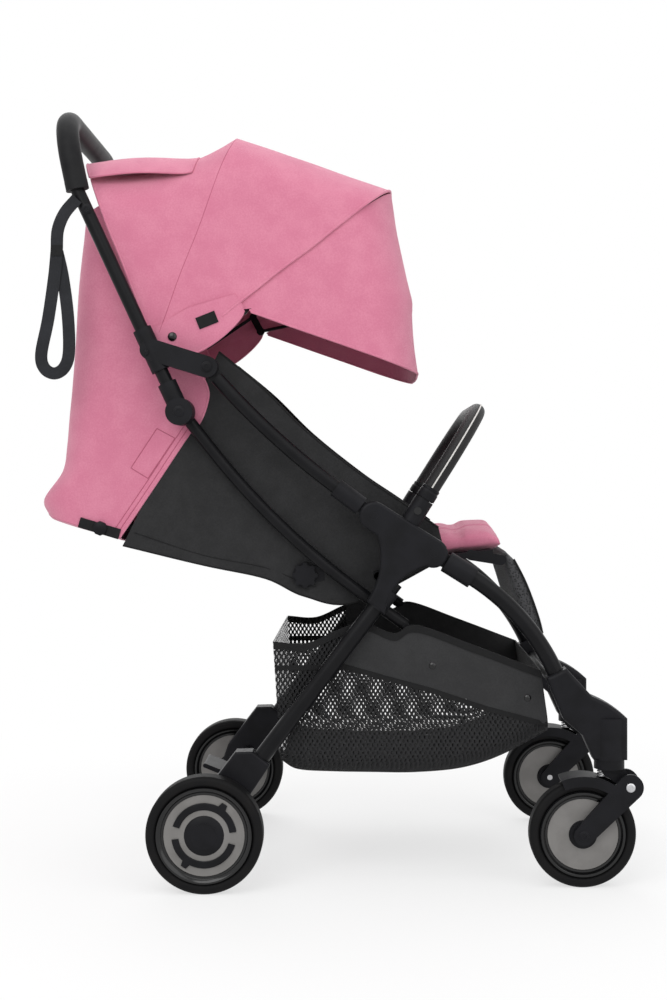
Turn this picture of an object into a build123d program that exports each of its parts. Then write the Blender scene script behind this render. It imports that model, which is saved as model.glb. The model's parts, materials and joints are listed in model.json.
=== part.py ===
from build123d import *
import math
import os

# Compact folding baby stroller: millimetres, +X forward, +Y to the child's left, +Z up.
# The origin is on the floor under the middle of the stroller.
# Points named in the side view are (x, z) pairs.

os.makedirs("parts", exist_ok=True)

# Fits and gaps
FIT = 0.05
RUN_GAP = 0.3
CLOTH_GAP = 0.4

# Tubes
LEG_D = 22.0
SIDE_D = 18.0
LINK_D = 16.0
PUSH_D = 18.0
BAR_D = 18.0
WALL = 1.5
PIN_D = 10.0

# Planes across the width
FRAME_Y = 192.0
HOUSING_T = 30.0
LINK_CLEAR = 5.0
WHEEL_CLEAR = 1.0
LINK_Y = FRAME_Y - HOUSING_T / 2 - LINK_CLEAR - LINK_D / 2
CLOTH_T = 3.0
CLOTH_Y = LINK_Y - LINK_D / 2 - CLOTH_GAP
SEAT_CLEAR = 9.6
PAN_Y = CLOTH_Y - CLOTH_T - SEAT_CLEAR

# Wheels
REAR_WHEEL_D = 152.0
REAR_TYRE_W = 32.0
FRONT_WHEEL_D = 140.0
FRONT_TYRE_W = 28.0
TYRE_DEPTH = 14.0
AXLE_D = 8.0
HUB_D = 34.0
REAR_WHEEL_Y = FRAME_Y + HOUSING_T / 2 + WHEEL_CLEAR + REAR_TYRE_W / 2

# Side view of the frame
REAR_AXLE = (-166.0, REAR_WHEEL_D / 2)
LEG_TOP = (81.0, 399.5)
SIDE_PIVOT = (53.0, 487.0)
LEG_PIVOT = (131.0, 438.0)
HOOD_PIVOT = (-166.0, 682.7)
PUSH_PIVOT = (-202.0, 624.0)
LINK_CROSSING = (55.0, 369.4)
LINK_BEND = (-79.5, 467.2)
LINK_FRONT = (95.5, 340.0)
FRONT_BEND = (256.0, 360.0)
FRONT_FOOT = (322.0, 216.0)
SWIVEL_X = 363.0
FORK_PIVOT = (388.0, 133.0)
FRONT_AXLE = (327.0, FRONT_WHEEL_D / 2)
RECLINE_PIVOT = (-39.0, 406.0)
SEAT_BAR_X = 58.0
SEAT_FRONT = (214.0, 436.0)
LEG_REST_PIVOT = (225.0, 426.0)
CANOPY_HUB = (-238.0, 713.0)
VISOR_PIVOT = (-121.0, 761.0)

# Bends and headings, degrees above the forward direction
FRONT_BEND_R = 290.0
LINK_BEND_R = 1000.0
SIDE_HEADING = 143.0
PUSH_HEADING = 114.9
GRIP_HEADING = 102.0

# Side joint housing and the knuckles inside it
BAND_R = 19.0
TONGUE_T = 13.4
TONGUE_R = 17.5
SLEEVE_WALL = 3.6
SLEEVE_L = 41.0
STEM_START = 21.0
TUBE_START = 26.0

# Push handle
PUSH_L = 320.0
GRIP_D = 30.0
GRIP_RISE = 106.0
GRIP_CORNER_R = 72.0
COLLAR_FROM = 60.0
COLLAR_L = 60.0
COLLAR_WALL = 3.5
KNUCKLE_R = 18.0
BUTTON_L = 42.0
BUTTON_W = 14.0
BUTTON_TRAVEL = 3.0

# Canopy: bows by heading and reach from their pivots
BOW_D = 5.0
BOW_GAP = 0.5
BOW_DROP = 3.0
CANOPY_Y = FRAME_Y - PUSH_D / 2 - 3.5
CANOPY_T = 2.5
CANOPY_ROUND = 60.0
BOW_INSET = CANOPY_T + BOW_GAP + BOW_D / 2
BOW_MID_Y = CANOPY_Y - BOW_INSET
BOW_FRONT_Y = BOW_MID_Y - BOW_D - BOW_GAP
VISOR_BOW_Y = BOW_FRONT_Y - BOW_D - BOW_GAP
REAR_EDGE = (111.3, 249.0)
MID_BOW = (69.5, 300.0)
FRONT_BOW = (34.2, 375.0)
VISOR_BOW = (12.0, 223.5)
VISOR_CREASE = (5.0, 224.0)
VISOR_HEM = (-19.3, 245.0)
HUB_REACH = 18.0

# Seat
PAN_T = 8.0
CUSHION_T = 36.0
CUSHION_NOSE = 22.0
BACK_L = 315.0
BACK_HEADING = 165.0
BACK_PAD_T = 22.0
LEG_REST_L = 125.0
LEG_REST_T = 16.0
LEG_REST_HEADING = -68.0

# Guard bar
GUARD_D = 22.0
GUARD_ALONG = 45.0
GUARD_SOCKET_L = 35.0
GUARD_SOCKET_R = 13.0
GUARD_REACH = 140.0
GUARD_CORNER_R = 90.0
PEG_D = 14.0
PEG_L = 24.0


def side_plane(y):
    """Side-view plane at a given y, with local axes X and Z."""
    return Plane.XZ.offset(-y)


def step(start, heading, distance):
    """Point at a distance from a side-view point along a heading in degrees."""
    angle = math.radians(heading)
    return (start[0] + distance * math.cos(angle), start[1] + distance * math.sin(angle))


def heading_of(start, end):
    """Heading in degrees from one side-view point to another."""
    return math.degrees(math.atan2(end[1] - start[1], end[0] - start[0]))


def span(start, end):
    """Distance between two side-view points."""
    return math.hypot(end[0] - start[0], end[1] - start[1])


def cross_plane(start, heading, y):
    """Plane square to a side-view heading, at a point of the side view."""
    angle = math.radians(heading)
    return Plane(
        origin=(start[0], y, start[1]),
        x_dir=(0, 1, 0),
        z_dir=(math.cos(angle), 0, math.sin(angle)),
    )


def fan_plane(hub, heading):
    """Plane through the crosswise axis at a hub: local x across, local y along the heading."""
    angle = math.radians(heading)
    return Plane(
        origin=(hub[0], 0, hub[1]),
        x_dir=(0, 1, 0),
        z_dir=(math.sin(angle), 0, -math.cos(angle)),
    )


def write(part, name):
    """Label a finished piece and write it as its own file."""
    part.label = name
    export_step(part, f"parts/{name}.step")


SIDES = ((-1, "right"), (1, "left"))
LEG_HEADING = heading_of(REAR_AXLE, LEG_TOP)
FRONT_HEADING = heading_of(LEG_PIVOT, FRONT_BEND)
PUSH_TOP = step(PUSH_PIVOT, PUSH_HEADING, PUSH_L)
SEAT_HEADING = heading_of(RECLINE_PIVOT, SEAT_FRONT)
FRONT_FOOT_HEADING = heading_of(FRONT_BEND, FRONT_FOOT)


def straight_tube(start, heading, length, outer, y):
    """Straight hollow tube in the side view."""
    with BuildPart() as tube:
        with BuildSketch(cross_plane(start, heading, y)):
            Circle(outer / 2)
            Circle(outer / 2 - WALL, mode=Mode.SUBTRACT)
        extrude(amount=length)
    return tube.part


def crosswise_tube(centre, outer, half_length):
    """Hollow tube that runs across the stroller between its two sides."""
    with BuildPart() as tube:
        with BuildSketch(side_plane(0)):
            with Locations(centre):
                Circle(outer / 2)
                Circle(outer / 2 - WALL, mode=Mode.SUBTRACT)
        extrude(amount=half_length, both=True)
    return tube.part


# Rear legs, each a straight tube from the wheel housing to the side joint
LEG_SEAT = 70.0
for side, word in SIDES:
    foot = step(REAR_AXLE, LEG_HEADING, LEG_SEAT)
    write(straight_tube(foot, LEG_HEADING, span(foot, LEG_TOP), LEG_D, side * FRAME_Y), f"rear_leg_{word}")

# Side joint housings: a band between two pivots with a neck that runs down into the rear leg's sleeve
NECK_SLEEVE_R = LEG_D / 2 + SLEEVE_WALL
SLEEVE_FOOT = step(LEG_TOP, LEG_HEADING + 180, 42.0)
SLOT_T = TONGUE_T + 2 * RUN_GAP
for side, word in SIDES:
    y = side * FRAME_Y
    band_middle = ((SIDE_PIVOT[0] + LEG_PIVOT[0]) / 2, (SIDE_PIVOT[1] + LEG_PIVOT[1]) / 2)
    neck_left = step(SLEEVE_FOOT, LEG_HEADING + 90, NECK_SLEEVE_R)
    neck_right = step(SLEEVE_FOOT, LEG_HEADING - 90, NECK_SLEEVE_R)
    with BuildPart() as side_housing:
        with BuildSketch(side_plane(y)):
            with Locations(band_middle):
                SlotCenterToCenter(
                    span(SIDE_PIVOT, LEG_PIVOT), 2 * BAND_R, rotation=heading_of(SIDE_PIVOT, LEG_PIVOT)
                )
            with BuildLine():
                crotch_left = (SIDE_PIVOT[0] + 2, SIDE_PIVOT[1] - BAND_R + 2)
                crotch_right = (LEG_PIVOT[0] - 6, LEG_PIVOT[1] - BAND_R + 3)
                ThreePointArc(crotch_left, (SIDE_PIVOT[0] + 9, SIDE_PIVOT[1] - 55), neck_left)
                Line(neck_left, neck_right)
                ThreePointArc(neck_right, (LEG_PIVOT[0] - 35, LEG_PIVOT[1] - 29), crotch_right)
                Polyline(crotch_right, band_middle, crotch_left)
            make_face()
        extrude(amount=HOUSING_T / 2, both=True)
        outer_face = side_housing.faces().filter_by(Axis.Y).sort_by(Axis.Y)[-1 if side > 0 else 0]
        fillet(outer_face.edges(), 4.0)
        with BuildSketch(cross_plane(SLEEVE_FOOT, LEG_HEADING, y)):
            Circle(NECK_SLEEVE_R)
        extrude(amount=30.0)
        with BuildSketch(cross_plane(SLEEVE_FOOT, LEG_HEADING, y)):
            Circle(LEG_D / 2 + FIT)
        extrude(amount=span(SLEEVE_FOOT, LEG_TOP) + FIT, mode=Mode.SUBTRACT)
        for pivot, way, swing in ((SIDE_PIVOT, SIDE_HEADING, 30.0), (LEG_PIVOT, FRONT_HEADING, -25.0)):
            with BuildSketch(side_plane(y)):
                with Locations(pivot):
                    Circle(TONGUE_R + 0.7)
                with Locations(step(pivot, way + swing, 20.0)):
                    Rectangle(40.0, 2 * BAND_R + 2, rotation=way + swing)
            extrude(amount=SLOT_T / 2, both=True, mode=Mode.SUBTRACT)
            with BuildSketch(side_plane(y)):
                with Locations(pivot):
                    Circle(PIN_D / 2 + FIT)
            extrude(amount=HOUSING_T, both=True, mode=Mode.SUBTRACT)
    write(side_housing.part, f"side_housing_{word}")

# Pivot pins of the side joints, four alike
with BuildPart() as pivot_pins:
    for side, word in SIDES:
        with BuildSketch(side_plane(side * FRAME_Y)):
            with Locations(SIDE_PIVOT, LEG_PIVOT):
                Circle(PIN_D / 2)
        extrude(amount=HOUSING_T / 2, both=True)
write(pivot_pins.part, "side_joint_pins")


def knuckle_sleeves(pivot, heading, tube_d, length):
    """Pair of sleeves that hold a tube's end, each with a flat tongue on its pivot pin."""
    sleeve_r = tube_d / 2 + SLEEVE_WALL
    with BuildPart() as sleeves:
        for side, word in SIDES:
            y = side * FRAME_Y
            with BuildSketch(side_plane(y)):
                with Locations(pivot):
                    Circle(TONGUE_R)
                with Locations(step(pivot, heading, STEM_START / 2)):
                    Rectangle(STEM_START, 1.3 * sleeve_r, rotation=heading)
            extrude(amount=TONGUE_T / 2, both=True)
            with BuildSketch(cross_plane(step(pivot, heading, STEM_START), heading, y)):
                Circle(sleeve_r)
            extrude(amount=length)
            with BuildSketch(cross_plane(step(pivot, heading, TUBE_START), heading, y)):
                Circle(tube_d / 2 + FIT)
            extrude(amount=length, mode=Mode.SUBTRACT)
            with BuildSketch(side_plane(y)):
                with Locations(pivot):
                    Circle(PIN_D / 2 + FIT)
            extrude(amount=TONGUE_T, both=True, mode=Mode.SUBTRACT)
    return sleeves.part


write(knuckle_sleeves(SIDE_PIVOT, SIDE_HEADING, SIDE_D, SLEEVE_L), "side_tube_sleeves")
write(knuckle_sleeves(LEG_PIVOT, FRONT_HEADING, LEG_D, SLEEVE_L), "front_leg_sleeves")

# Side tubes, bowed a little, with a flattened eye at the hood bracket
EYE_R = 11.0
EYE_T = 12.0
EYE_STEM = 18.0
for side, word in SIDES:
    y = side * FRAME_Y
    start = step(SIDE_PIVOT, SIDE_HEADING, TUBE_START)
    bend = step(start, SIDE_HEADING, SLEEVE_L)
    chord = 2 * heading_of(bend, HOOD_PIVOT) - SIDE_HEADING
    end = step(HOOD_PIVOT, chord + 180, EYE_STEM)
    with BuildPart() as side_tube:
        with BuildLine() as axis:
            straight = Line((start[0], y, start[1]), (bend[0], y, bend[1]))
            TangentArc(straight @ 1, (end[0], y, end[1]), tangent=straight % 1)
        with BuildSketch(Plane(origin=axis.line @ 0, z_dir=axis.line % 0)):
            Circle(SIDE_D / 2)
        sweep()
        with BuildSketch(side_plane(y)):
            with Locations(HOOD_PIVOT):
                Circle(EYE_R)
            with Locations(step(HOOD_PIVOT, chord + 180, EYE_STEM / 2)):
                Rectangle(EYE_STEM + 4, 1.4 * EYE_R, rotation=chord)
        extrude(amount=EYE_T / 2, both=True)
        with BuildSketch(side_plane(y)):
            with Locations(HOOD_PIVOT):
                Circle(PIN_D / 2 + FIT)
        extrude(amount=SIDE_D, both=True, mode=Mode.SUBTRACT)
    write(side_tube.part, f"side_tube_{word}")

# Front legs, bent down to the casters
for side, word in SIDES:
    y = side * FRAME_Y
    start = step(LEG_PIVOT, FRONT_HEADING, TUBE_START)
    corners = [(p[0], y, p[1]) for p in (start, FRONT_BEND, FRONT_FOOT)]
    with BuildPart() as front_leg:
        with BuildLine() as axis:
            FilletPolyline(*corners, radius=FRONT_BEND_R)
        with BuildSketch(Plane(origin=axis.line @ 0, z_dir=axis.line % 0)):
            Circle(LEG_D / 2)
        sweep()
    write(front_leg.part, f"front_leg_{word}")

# Caster housings: the leg's socket, and an arm forward to the swivel barrel
CASTER_T = 34.0
BARREL_D = 44.0
BARREL_FOOT_Z = 167.5
BARREL_TOP_Z = 222.0
STEM_D = 12.0
SOCKET_R = LEG_D / 2 + SLEEVE_WALL
SOCKET_TOP = step(FRONT_FOOT, FRONT_FOOT_HEADING + 180, 72.0)
with BuildPart() as caster_housings:
    for side, word in SIDES:
        y = side * FRAME_Y
        socket_left = step(SOCKET_TOP, FRONT_FOOT_HEADING - 90, SOCKET_R)
        socket_right = step(SOCKET_TOP, FRONT_FOOT_HEADING + 90, SOCKET_R)
        with BuildSketch(side_plane(y)):
            with BuildLine():
                foot = (SWIVEL_X - BARREL_D / 2, BARREL_FOOT_Z)
                toe = (SWIVEL_X + BARREL_D / 2, BARREL_FOOT_Z)
                brow = (SWIVEL_X + BARREL_D / 2, BARREL_TOP_Z)
                hip = (FRONT_FOOT[0] - 20, FRONT_FOOT[1] + 4)
                Polyline(socket_left, hip, (FRONT_FOOT[0] + 4, FRONT_FOOT[1] - 16), foot, toe, brow)
                ThreePointArc(brow, (SWIVEL_X, BARREL_TOP_Z + 17), (FRONT_FOOT[0] + 17, BARREL_TOP_Z + 29))
                Polyline((FRONT_FOOT[0] + 17, BARREL_TOP_Z + 29), socket_right, socket_left)
            make_face()
        extrude(amount=CASTER_T / 2, both=True)
    fillet(caster_housings.faces().filter_by(Axis.Y).edges(), 5.0)
    for side, word in SIDES:
        y = side * FRAME_Y
        with BuildSketch(Plane.XY.offset(BARREL_FOOT_Z)):
            with Locations((SWIVEL_X, y)):
                Circle(BARREL_D / 2)
        extrude(amount=BARREL_TOP_Z - BARREL_FOOT_Z)
        with BuildSketch(cross_plane(SOCKET_TOP, FRONT_FOOT_HEADING, y)):
            Circle(LEG_D / 2 + FIT)
        extrude(amount=span(SOCKET_TOP, FRONT_FOOT) + FIT, mode=Mode.SUBTRACT)
        with BuildSketch(Plane.XY.offset(BARREL_FOOT_Z)):
            with Locations((SWIVEL_X, y)):
                Circle(STEM_D / 2 + FIT)
        extrude(amount=BARREL_TOP_Z - BARREL_FOOT_Z - 8, mode=Mode.SUBTRACT)
write(caster_housings.part, "caster_housings")

# Front crossbar between the caster housings
FRONT_BAR = step(FRONT_FOOT, FRONT_FOOT_HEADING + 180, 46.0)
write(crosswise_tube(FRONT_BAR, BAR_D, FRAME_Y - CASTER_T / 2), "front_crossbar")

# Fork heads: a stem that turns in the barrel, a ring under it and a knuckle for the fork's pivot
HEAD_D = 40.0
KNUCKLE_W = 18.0
FORK_KNUCKLE_R = 12.0
HEAD_TOP_Z = BARREL_FOOT_Z - RUN_GAP
HEAD_L = 12.0
for side, word in SIDES:
    y = side * FRAME_Y
    with BuildPart() as fork_head:
        with BuildSketch(Plane.XY.offset(HEAD_TOP_Z)):
            with Locations((SWIVEL_X, y)):
                Circle(HEAD_D / 2)
        extrude(amount=-HEAD_L)
        with BuildSketch(Plane.XY.offset(HEAD_TOP_Z)):
            with Locations((SWIVEL_X, y)):
                Circle(STEM_D / 2)
        extrude(amount=BARREL_TOP_Z - BARREL_FOOT_Z - 10)
        with BuildSketch(side_plane(y)):
            with BuildLine():
                Polyline(
                    (SWIVEL_X - 14, HEAD_TOP_Z - HEAD_L + 1),
                    (SWIVEL_X - 8, FORK_PIVOT[1] + 14),
                    (FORK_PIVOT[0] - FORK_KNUCKLE_R, FORK_PIVOT[1]),
                    (FORK_PIVOT[0] + FORK_KNUCKLE_R, FORK_PIVOT[1]),
                    (SWIVEL_X + 18, HEAD_TOP_Z - HEAD_L + 1),
                    close=True,
                )
            make_face()
            with Locations(FORK_PIVOT):
                Circle(FORK_KNUCKLE_R)
        extrude(amount=KNUCKLE_W / 2, both=True)
        with BuildSketch(side_plane(y)):
            with Locations(FORK_PIVOT):
                Circle(AXLE_D / 2 + FIT)
        extrude(amount=KNUCKLE_W, both=True, mode=Mode.SUBTRACT)
    write(fork_head.part, f"fork_head_{word}")

# Forks: two tapered arms with a guard over the tyre and the bolt through the head's knuckle
FORK_GAP = FRONT_TYRE_W / 2 + 2.5
FORK_T = 5.5
FORK_TOP_R = 17.0
FORK_FOOT_R = 13.0
GUARD_GAP = 4.0
GUARD_T = 3.5
GUARD_FROM = 74.0
GUARD_TO = 112.0
for side, word in SIDES:
    y = side * FRAME_Y
    inner_r = FRONT_WHEEL_D / 2 + GUARD_GAP
    with BuildPart() as fork:
        for flank in (-1, 1):
            with BuildSketch(side_plane(y + flank * (FORK_GAP + FORK_T / 2))):
                with BuildSketch(mode=Mode.PRIVATE) as ends:
                    with Locations(FORK_PIVOT):
                        Circle(FORK_TOP_R)
                    with Locations(FRONT_AXLE):
                        Circle(FORK_FOOT_R)
                make_hull(ends.sketch.edges())
                with BuildLine():
                    guard_in = [step(FRONT_AXLE, a, inner_r - 10) for a in (GUARD_FROM - 26, GUARD_TO)]
                    guard_out = [step(FRONT_AXLE, a, inner_r + GUARD_T) for a in (GUARD_FROM - 26, GUARD_TO)]
                    crest = (GUARD_FROM - 26 + GUARD_TO) / 2
                    ThreePointArc(guard_out[0], step(FRONT_AXLE, crest, inner_r + GUARD_T), guard_out[1])
                    Line(guard_out[1], guard_in[1])
                    ThreePointArc(guard_in[1], step(FRONT_AXLE, crest, inner_r - 10), guard_in[0])
                    Line(guard_in[0], guard_out[0])
                make_face()
            extrude(amount=FORK_T / 2, both=True)
        with BuildSketch(side_plane(y)):
            with BuildLine():
                crown_in = [step(FRONT_AXLE, a, inner_r) for a in (GUARD_FROM, GUARD_TO)]
                crown_out = [step(FRONT_AXLE, a, inner_r + GUARD_T) for a in (GUARD_FROM, GUARD_TO)]
                crest = (GUARD_FROM + GUARD_TO) / 2
                ThreePointArc(crown_out[0], step(FRONT_AXLE, crest, inner_r + GUARD_T), crown_out[1])
                Line(crown_out[1], crown_in[1])
                ThreePointArc(crown_in[1], step(FRONT_AXLE, crest, inner_r), crown_in[0])
                Line(crown_in[0], crown_out[0])
            make_face()
        extrude(amount=FORK_GAP + FORK_T, both=True)
        with BuildSketch(side_plane(y)):
            with Locations(FORK_PIVOT):
                Circle(AXLE_D / 2)
        extrude(amount=FORK_GAP + 1, both=True)
        with BuildSketch(side_plane(y)):
            with Locations(FRONT_AXLE):
                Circle(AXLE_D / 2 + FIT)
        extrude(amount=FORK_GAP + 2 * FORK_T, both=True, mode=Mode.SUBTRACT)
    write(fork.part, f"fork_{word}")
    with BuildPart() as front_axle:
        with BuildSketch(side_plane(y)):
            with Locations(FRONT_AXLE):
                Circle(AXLE_D / 2)
        extrude(amount=FORK_GAP + FORK_T, both=True)
    write(front_axle.part, f"front_axle_{word}")


def tyre(axle, diameter, width, y):
    """Foam tyre with a rounded tread and a flat seat on its rim."""
    with BuildPart() as ring:
        with BuildSketch(Plane.XY):
            with Locations((diameter / 2 - TYRE_DEPTH / 2, 0)):
                RectangleRounded(TYRE_DEPTH, width, TYRE_DEPTH * 0.42)
        revolve(axis=Axis.Y)
    return ring.part.moved(Location((axle[0], y, axle[1])))


def rim(axle, diameter, width, windows, y):
    """Moulded rim: a seat band, a thin web with windows and a hub with a bore."""
    seat_r = diameter / 2 - TYRE_DEPTH
    with BuildPart() as wheel:
        with BuildSketch(Plane.XY):
            with BuildLine():
                Polyline(
                    (AXLE_D / 2 + FIT, -width / 2),
                    (HUB_D / 2, -width / 2),
                    (HUB_D / 2, -3),
                    (seat_r - 7, -3),
                    (seat_r - 4, -width / 2 + 3),
                    (seat_r, -width / 2 + 3),
                    (seat_r, width / 2 - 3),
                    (seat_r - 4, width / 2 - 3),
                    (seat_r - 7, 3),
                    (HUB_D / 2, 3),
                    (HUB_D / 2, width / 2),
                    (AXLE_D / 2 + FIT, width / 2),
                    close=True,
                )
            make_face()
        revolve(axis=Axis.Y)
        window_r = (HUB_D / 2 + seat_r - 5) / 2
        window_w = seat_r - 5 - HUB_D / 2 - 9
        with BuildSketch(Plane.XZ):
            with PolarLocations(0, windows):
                SlotArc(
                    CenterArc((0, 0), window_r, -180 / windows + 14, 360 / windows - 28, mode=Mode.PRIVATE),
                    window_w,
                )
        extrude(amount=width, both=True, mode=Mode.SUBTRACT)
    return wheel.part.moved(Location((axle[0], y, axle[1])))


FRONT_WINDOWS = 5
REAR_WINDOWS = 4
RIM_SIDE_GAP = 0.6
for side, word in SIDES:
    write(tyre(FRONT_AXLE, FRONT_WHEEL_D, FRONT_TYRE_W, side * FRAME_Y), f"front_tyre_{word}")
    front_rim_w = 2 * (FORK_GAP - RIM_SIDE_GAP)
    write(rim(FRONT_AXLE, FRONT_WHEEL_D, front_rim_w, FRONT_WINDOWS, side * FRAME_Y), f"front_rim_{word}")
    write(tyre(REAR_AXLE, REAR_WHEEL_D, REAR_TYRE_W, side * REAR_WHEEL_Y), f"rear_tyre_{word}")
    rear_rim_w = REAR_TYRE_W + 2 * (WHEEL_CLEAR - RUN_GAP)
    write(rim(REAR_AXLE, REAR_WHEEL_D, rear_rim_w, REAR_WINDOWS, side * REAR_WHEEL_Y), f"rear_rim_{word}")

# Rear wheel housings: the leg's socket with a lobe behind it, down to the axle
LOBE = 32.0
HOUSING_L = 118.0
with BuildPart() as rear_wheel_housings:
    for side, word in SIDES:
        y = side * FRAME_Y
        top = step(REAR_AXLE, LEG_HEADING, HOUSING_L)
        shoulder = step(REAR_AXLE, LEG_HEADING, HOUSING_L - 14)
        waist = step(REAR_AXLE, LEG_HEADING, 30.0)
        with BuildSketch(side_plane(y)):
            with BuildLine():
                Polyline(
                    step(top, LEG_HEADING - 90, SOCKET_R),
                    step(top, LEG_HEADING + 90, SOCKET_R),
                    step(shoulder, LEG_HEADING + 90, LOBE),
                    step(waist, LEG_HEADING + 90, LOBE),
                    step(REAR_AXLE, LEG_HEADING + 90, 22.0),
                    step(REAR_AXLE, LEG_HEADING - 90, 22.0),
                    close=True,
                )
            make_face()
            with Locations(REAR_AXLE):
                Circle(22.0)
        extrude(amount=HOUSING_T / 2, both=True)
    fillet(rear_wheel_housings.faces().filter_by(Axis.Y).edges(), 3.0)
    for side, word in SIDES:
        y = side * FRAME_Y
        with BuildSketch(cross_plane(step(REAR_AXLE, LEG_HEADING, LEG_SEAT - FIT), LEG_HEADING, y)):
            Circle(LEG_D / 2 + FIT)
        extrude(amount=HOUSING_L, mode=Mode.SUBTRACT)
        with BuildSketch(side_plane(y)):
            with Locations(REAR_AXLE):
                Circle(AXLE_D / 2 + FIT)
        extrude(amount=HOUSING_T, both=True, mode=Mode.SUBTRACT)
write(rear_wheel_housings.part, "rear_wheel_housings")

# Rear axle rod through both wheels, and the crossbar that carries the brake
REAR_BAR = step(REAR_AXLE, LEG_HEADING, 42.0)
with BuildPart() as rear_axle:
    with BuildSketch(side_plane(0)):
        with Locations(REAR_AXLE):
            Circle(AXLE_D / 2)
    extrude(amount=REAR_WHEEL_Y + REAR_TYRE_W / 2, both=True)
write(rear_axle.part, "rear_axle")
write(crosswise_tube(REAR_BAR, BAR_D, FRAME_Y - HOUSING_T / 2), "rear_crossbar")

# Brake pedal: a rocker on the rear crossbar
PEDAL_W = 70.0
PEDAL_L = 52.0
PEDAL_T = 6.0
PEDAL_HEADING = 158.0
with BuildPart() as brake_pedal:
    with BuildSketch(side_plane(0)):
        with Locations(REAR_BAR):
            Circle(BAR_D / 2 + 4)
        with Locations(step(REAR_BAR, PEDAL_HEADING, PEDAL_L / 2)):
            Rectangle(PEDAL_L, PEDAL_T, rotation=PEDAL_HEADING)
        with Locations(REAR_BAR):
            Circle(BAR_D / 2 + FIT, mode=Mode.SUBTRACT)
    extrude(amount=PEDAL_W / 2, both=True)
    fillet(brake_pedal.edges().filter_by(Axis.Y).sort_by(Axis.X)[0:2], PEDAL_T / 2 - 0.2)
write(brake_pedal.part, "brake_pedal")

# Seat: pan, the bar under it, recline hubs, backrest and leg rest
BARREL_R = 10.0
PAN_REAR = step(RECLINE_PIVOT, SEAT_HEADING, BARREL_R + 3)
PAN_L = span(PAN_REAR, SEAT_FRONT)
SEAT_BAR_D = BAR_D - 4
EAR_T = 5.0
EAR_L = 30.0
EAR_PIN_D = 8.0
EAR_PIN_L = 12.0
with BuildPart() as seat_pan:
    with BuildSketch(side_plane(0)):
        with Locations(step(PAN_REAR, SEAT_HEADING, PAN_L / 2)):
            Rectangle(PAN_L, PAN_T, rotation=SEAT_HEADING)
    extrude(amount=PAN_Y, both=True)
    for side, word in SIDES:
        with BuildSketch(side_plane(side * PAN_Y)):
            with BuildSketch(mode=Mode.PRIVATE) as ends:
                with Locations(LEG_REST_PIVOT, step(PAN_REAR, SEAT_HEADING, PAN_L - EAR_L)):
                    Circle(LEG_REST_T / 2 - 1)
            make_hull(ends.sketch.edges())
        extrude(amount=side * EAR_T)
        with BuildSketch(side_plane(side * PAN_Y)):
            with Locations(LEG_REST_PIVOT):
                Circle(EAR_PIN_D / 2)
        extrude(amount=side * (EAR_T + EAR_PIN_L))
write(seat_pan.part, "seat_pan")

pan_at_bar = step(PAN_REAR, SEAT_HEADING, SEAT_BAR_X - PAN_REAR[0])
SEAT_BAR = step(pan_at_bar, SEAT_HEADING - 90, PAN_T / 2 + SEAT_BAR_D / 2 + FIT)
write(crosswise_tube(SEAT_BAR, SEAT_BAR_D, FRAME_Y - HOUSING_T / 2), "seat_support_bar")

HUB_PLATE_T = 7.0
HUB_CAP_T = 5.0
HUB_R = 17.0
HUB_ARM = 52.0
RECLINE_PIN_D = 8.0
with BuildPart() as recline_hubs:
    for side, word in SIDES:
        with BuildSketch(side_plane(side * PAN_Y)):
            with Locations(RECLINE_PIVOT):
                Circle(HUB_R)
            with Locations(step(RECLINE_PIVOT, SEAT_HEADING, HUB_ARM / 2)):
                Rectangle(HUB_ARM, 1.2 * HUB_R, rotation=SEAT_HEADING)
            with Locations(RECLINE_PIVOT):
                Circle(RECLINE_PIN_D / 2 + FIT, mode=Mode.SUBTRACT)
        extrude(amount=-side * HUB_PLATE_T)
        with BuildSketch(side_plane(side * (PAN_Y + HUB_PLATE_T))):
            with Locations(RECLINE_PIVOT):
                Circle(HUB_R - 3)
                with PolarLocations(HUB_R - 3, 8):
                    Circle(3.2)
        extrude(amount=-side * HUB_CAP_T)
write(recline_hubs.part, "recline_hubs")

BACK_Y = PAN_Y - 2
BACK_T = 8.0
with BuildPart() as backrest_board:
    with BuildSketch(side_plane(0)):
        with Locations(RECLINE_PIVOT):
            Circle(BARREL_R)
        with Locations(step(RECLINE_PIVOT, BACK_HEADING, BACK_L / 2)):
            Rectangle(BACK_L, BACK_T, rotation=BACK_HEADING)
    extrude(amount=BACK_Y, both=True)
    with BuildSketch(side_plane(0)):
        with Locations(RECLINE_PIVOT):
            Circle(RECLINE_PIN_D / 2)
    extrude(amount=PAN_Y + HUB_PLATE_T - RUN_GAP, both=True)
write(backrest_board.part, "backrest_board")


def pad(start, heading, length, half_width, thickness, rise, channels):
    """Padded cushion: a crown, drawn-in sides and sewn channels across it."""
    stations = [(0.0, 0.55), (0.06, 0.92)]
    for channel in range(1, channels + 1):
        middle = channel / (channels + 1)
        stations += [(middle - 0.05, 1.0), (middle, 0.80), (middle + 0.05, 1.0)]
    stations += [(0.94, 0.92), (1.0, 0.55)]
    with BuildPart() as cushion:
        for share, fullness in stations:
            height = thickness * fullness * rise
            shoulder = 0.72 * height
            half = half_width - 5 * (1 - fullness)
            with BuildSketch(cross_plane(step(start, heading, share * length), heading, 0)):
                with BuildLine():
                    Line((-half + 4, 0), (half - 4, 0))
                    ThreePointArc((half - 4, 0), (half, 0.4 * height), (half - 6, shoulder))
                    ThreePointArc((half - 6, shoulder), (0, height), (6 - half, shoulder))
                    ThreePointArc((6 - half, shoulder), (-half, 0.4 * height), (4 - half, 0))
                make_face()
        loft(ruled=True)
    return cushion.part


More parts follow.
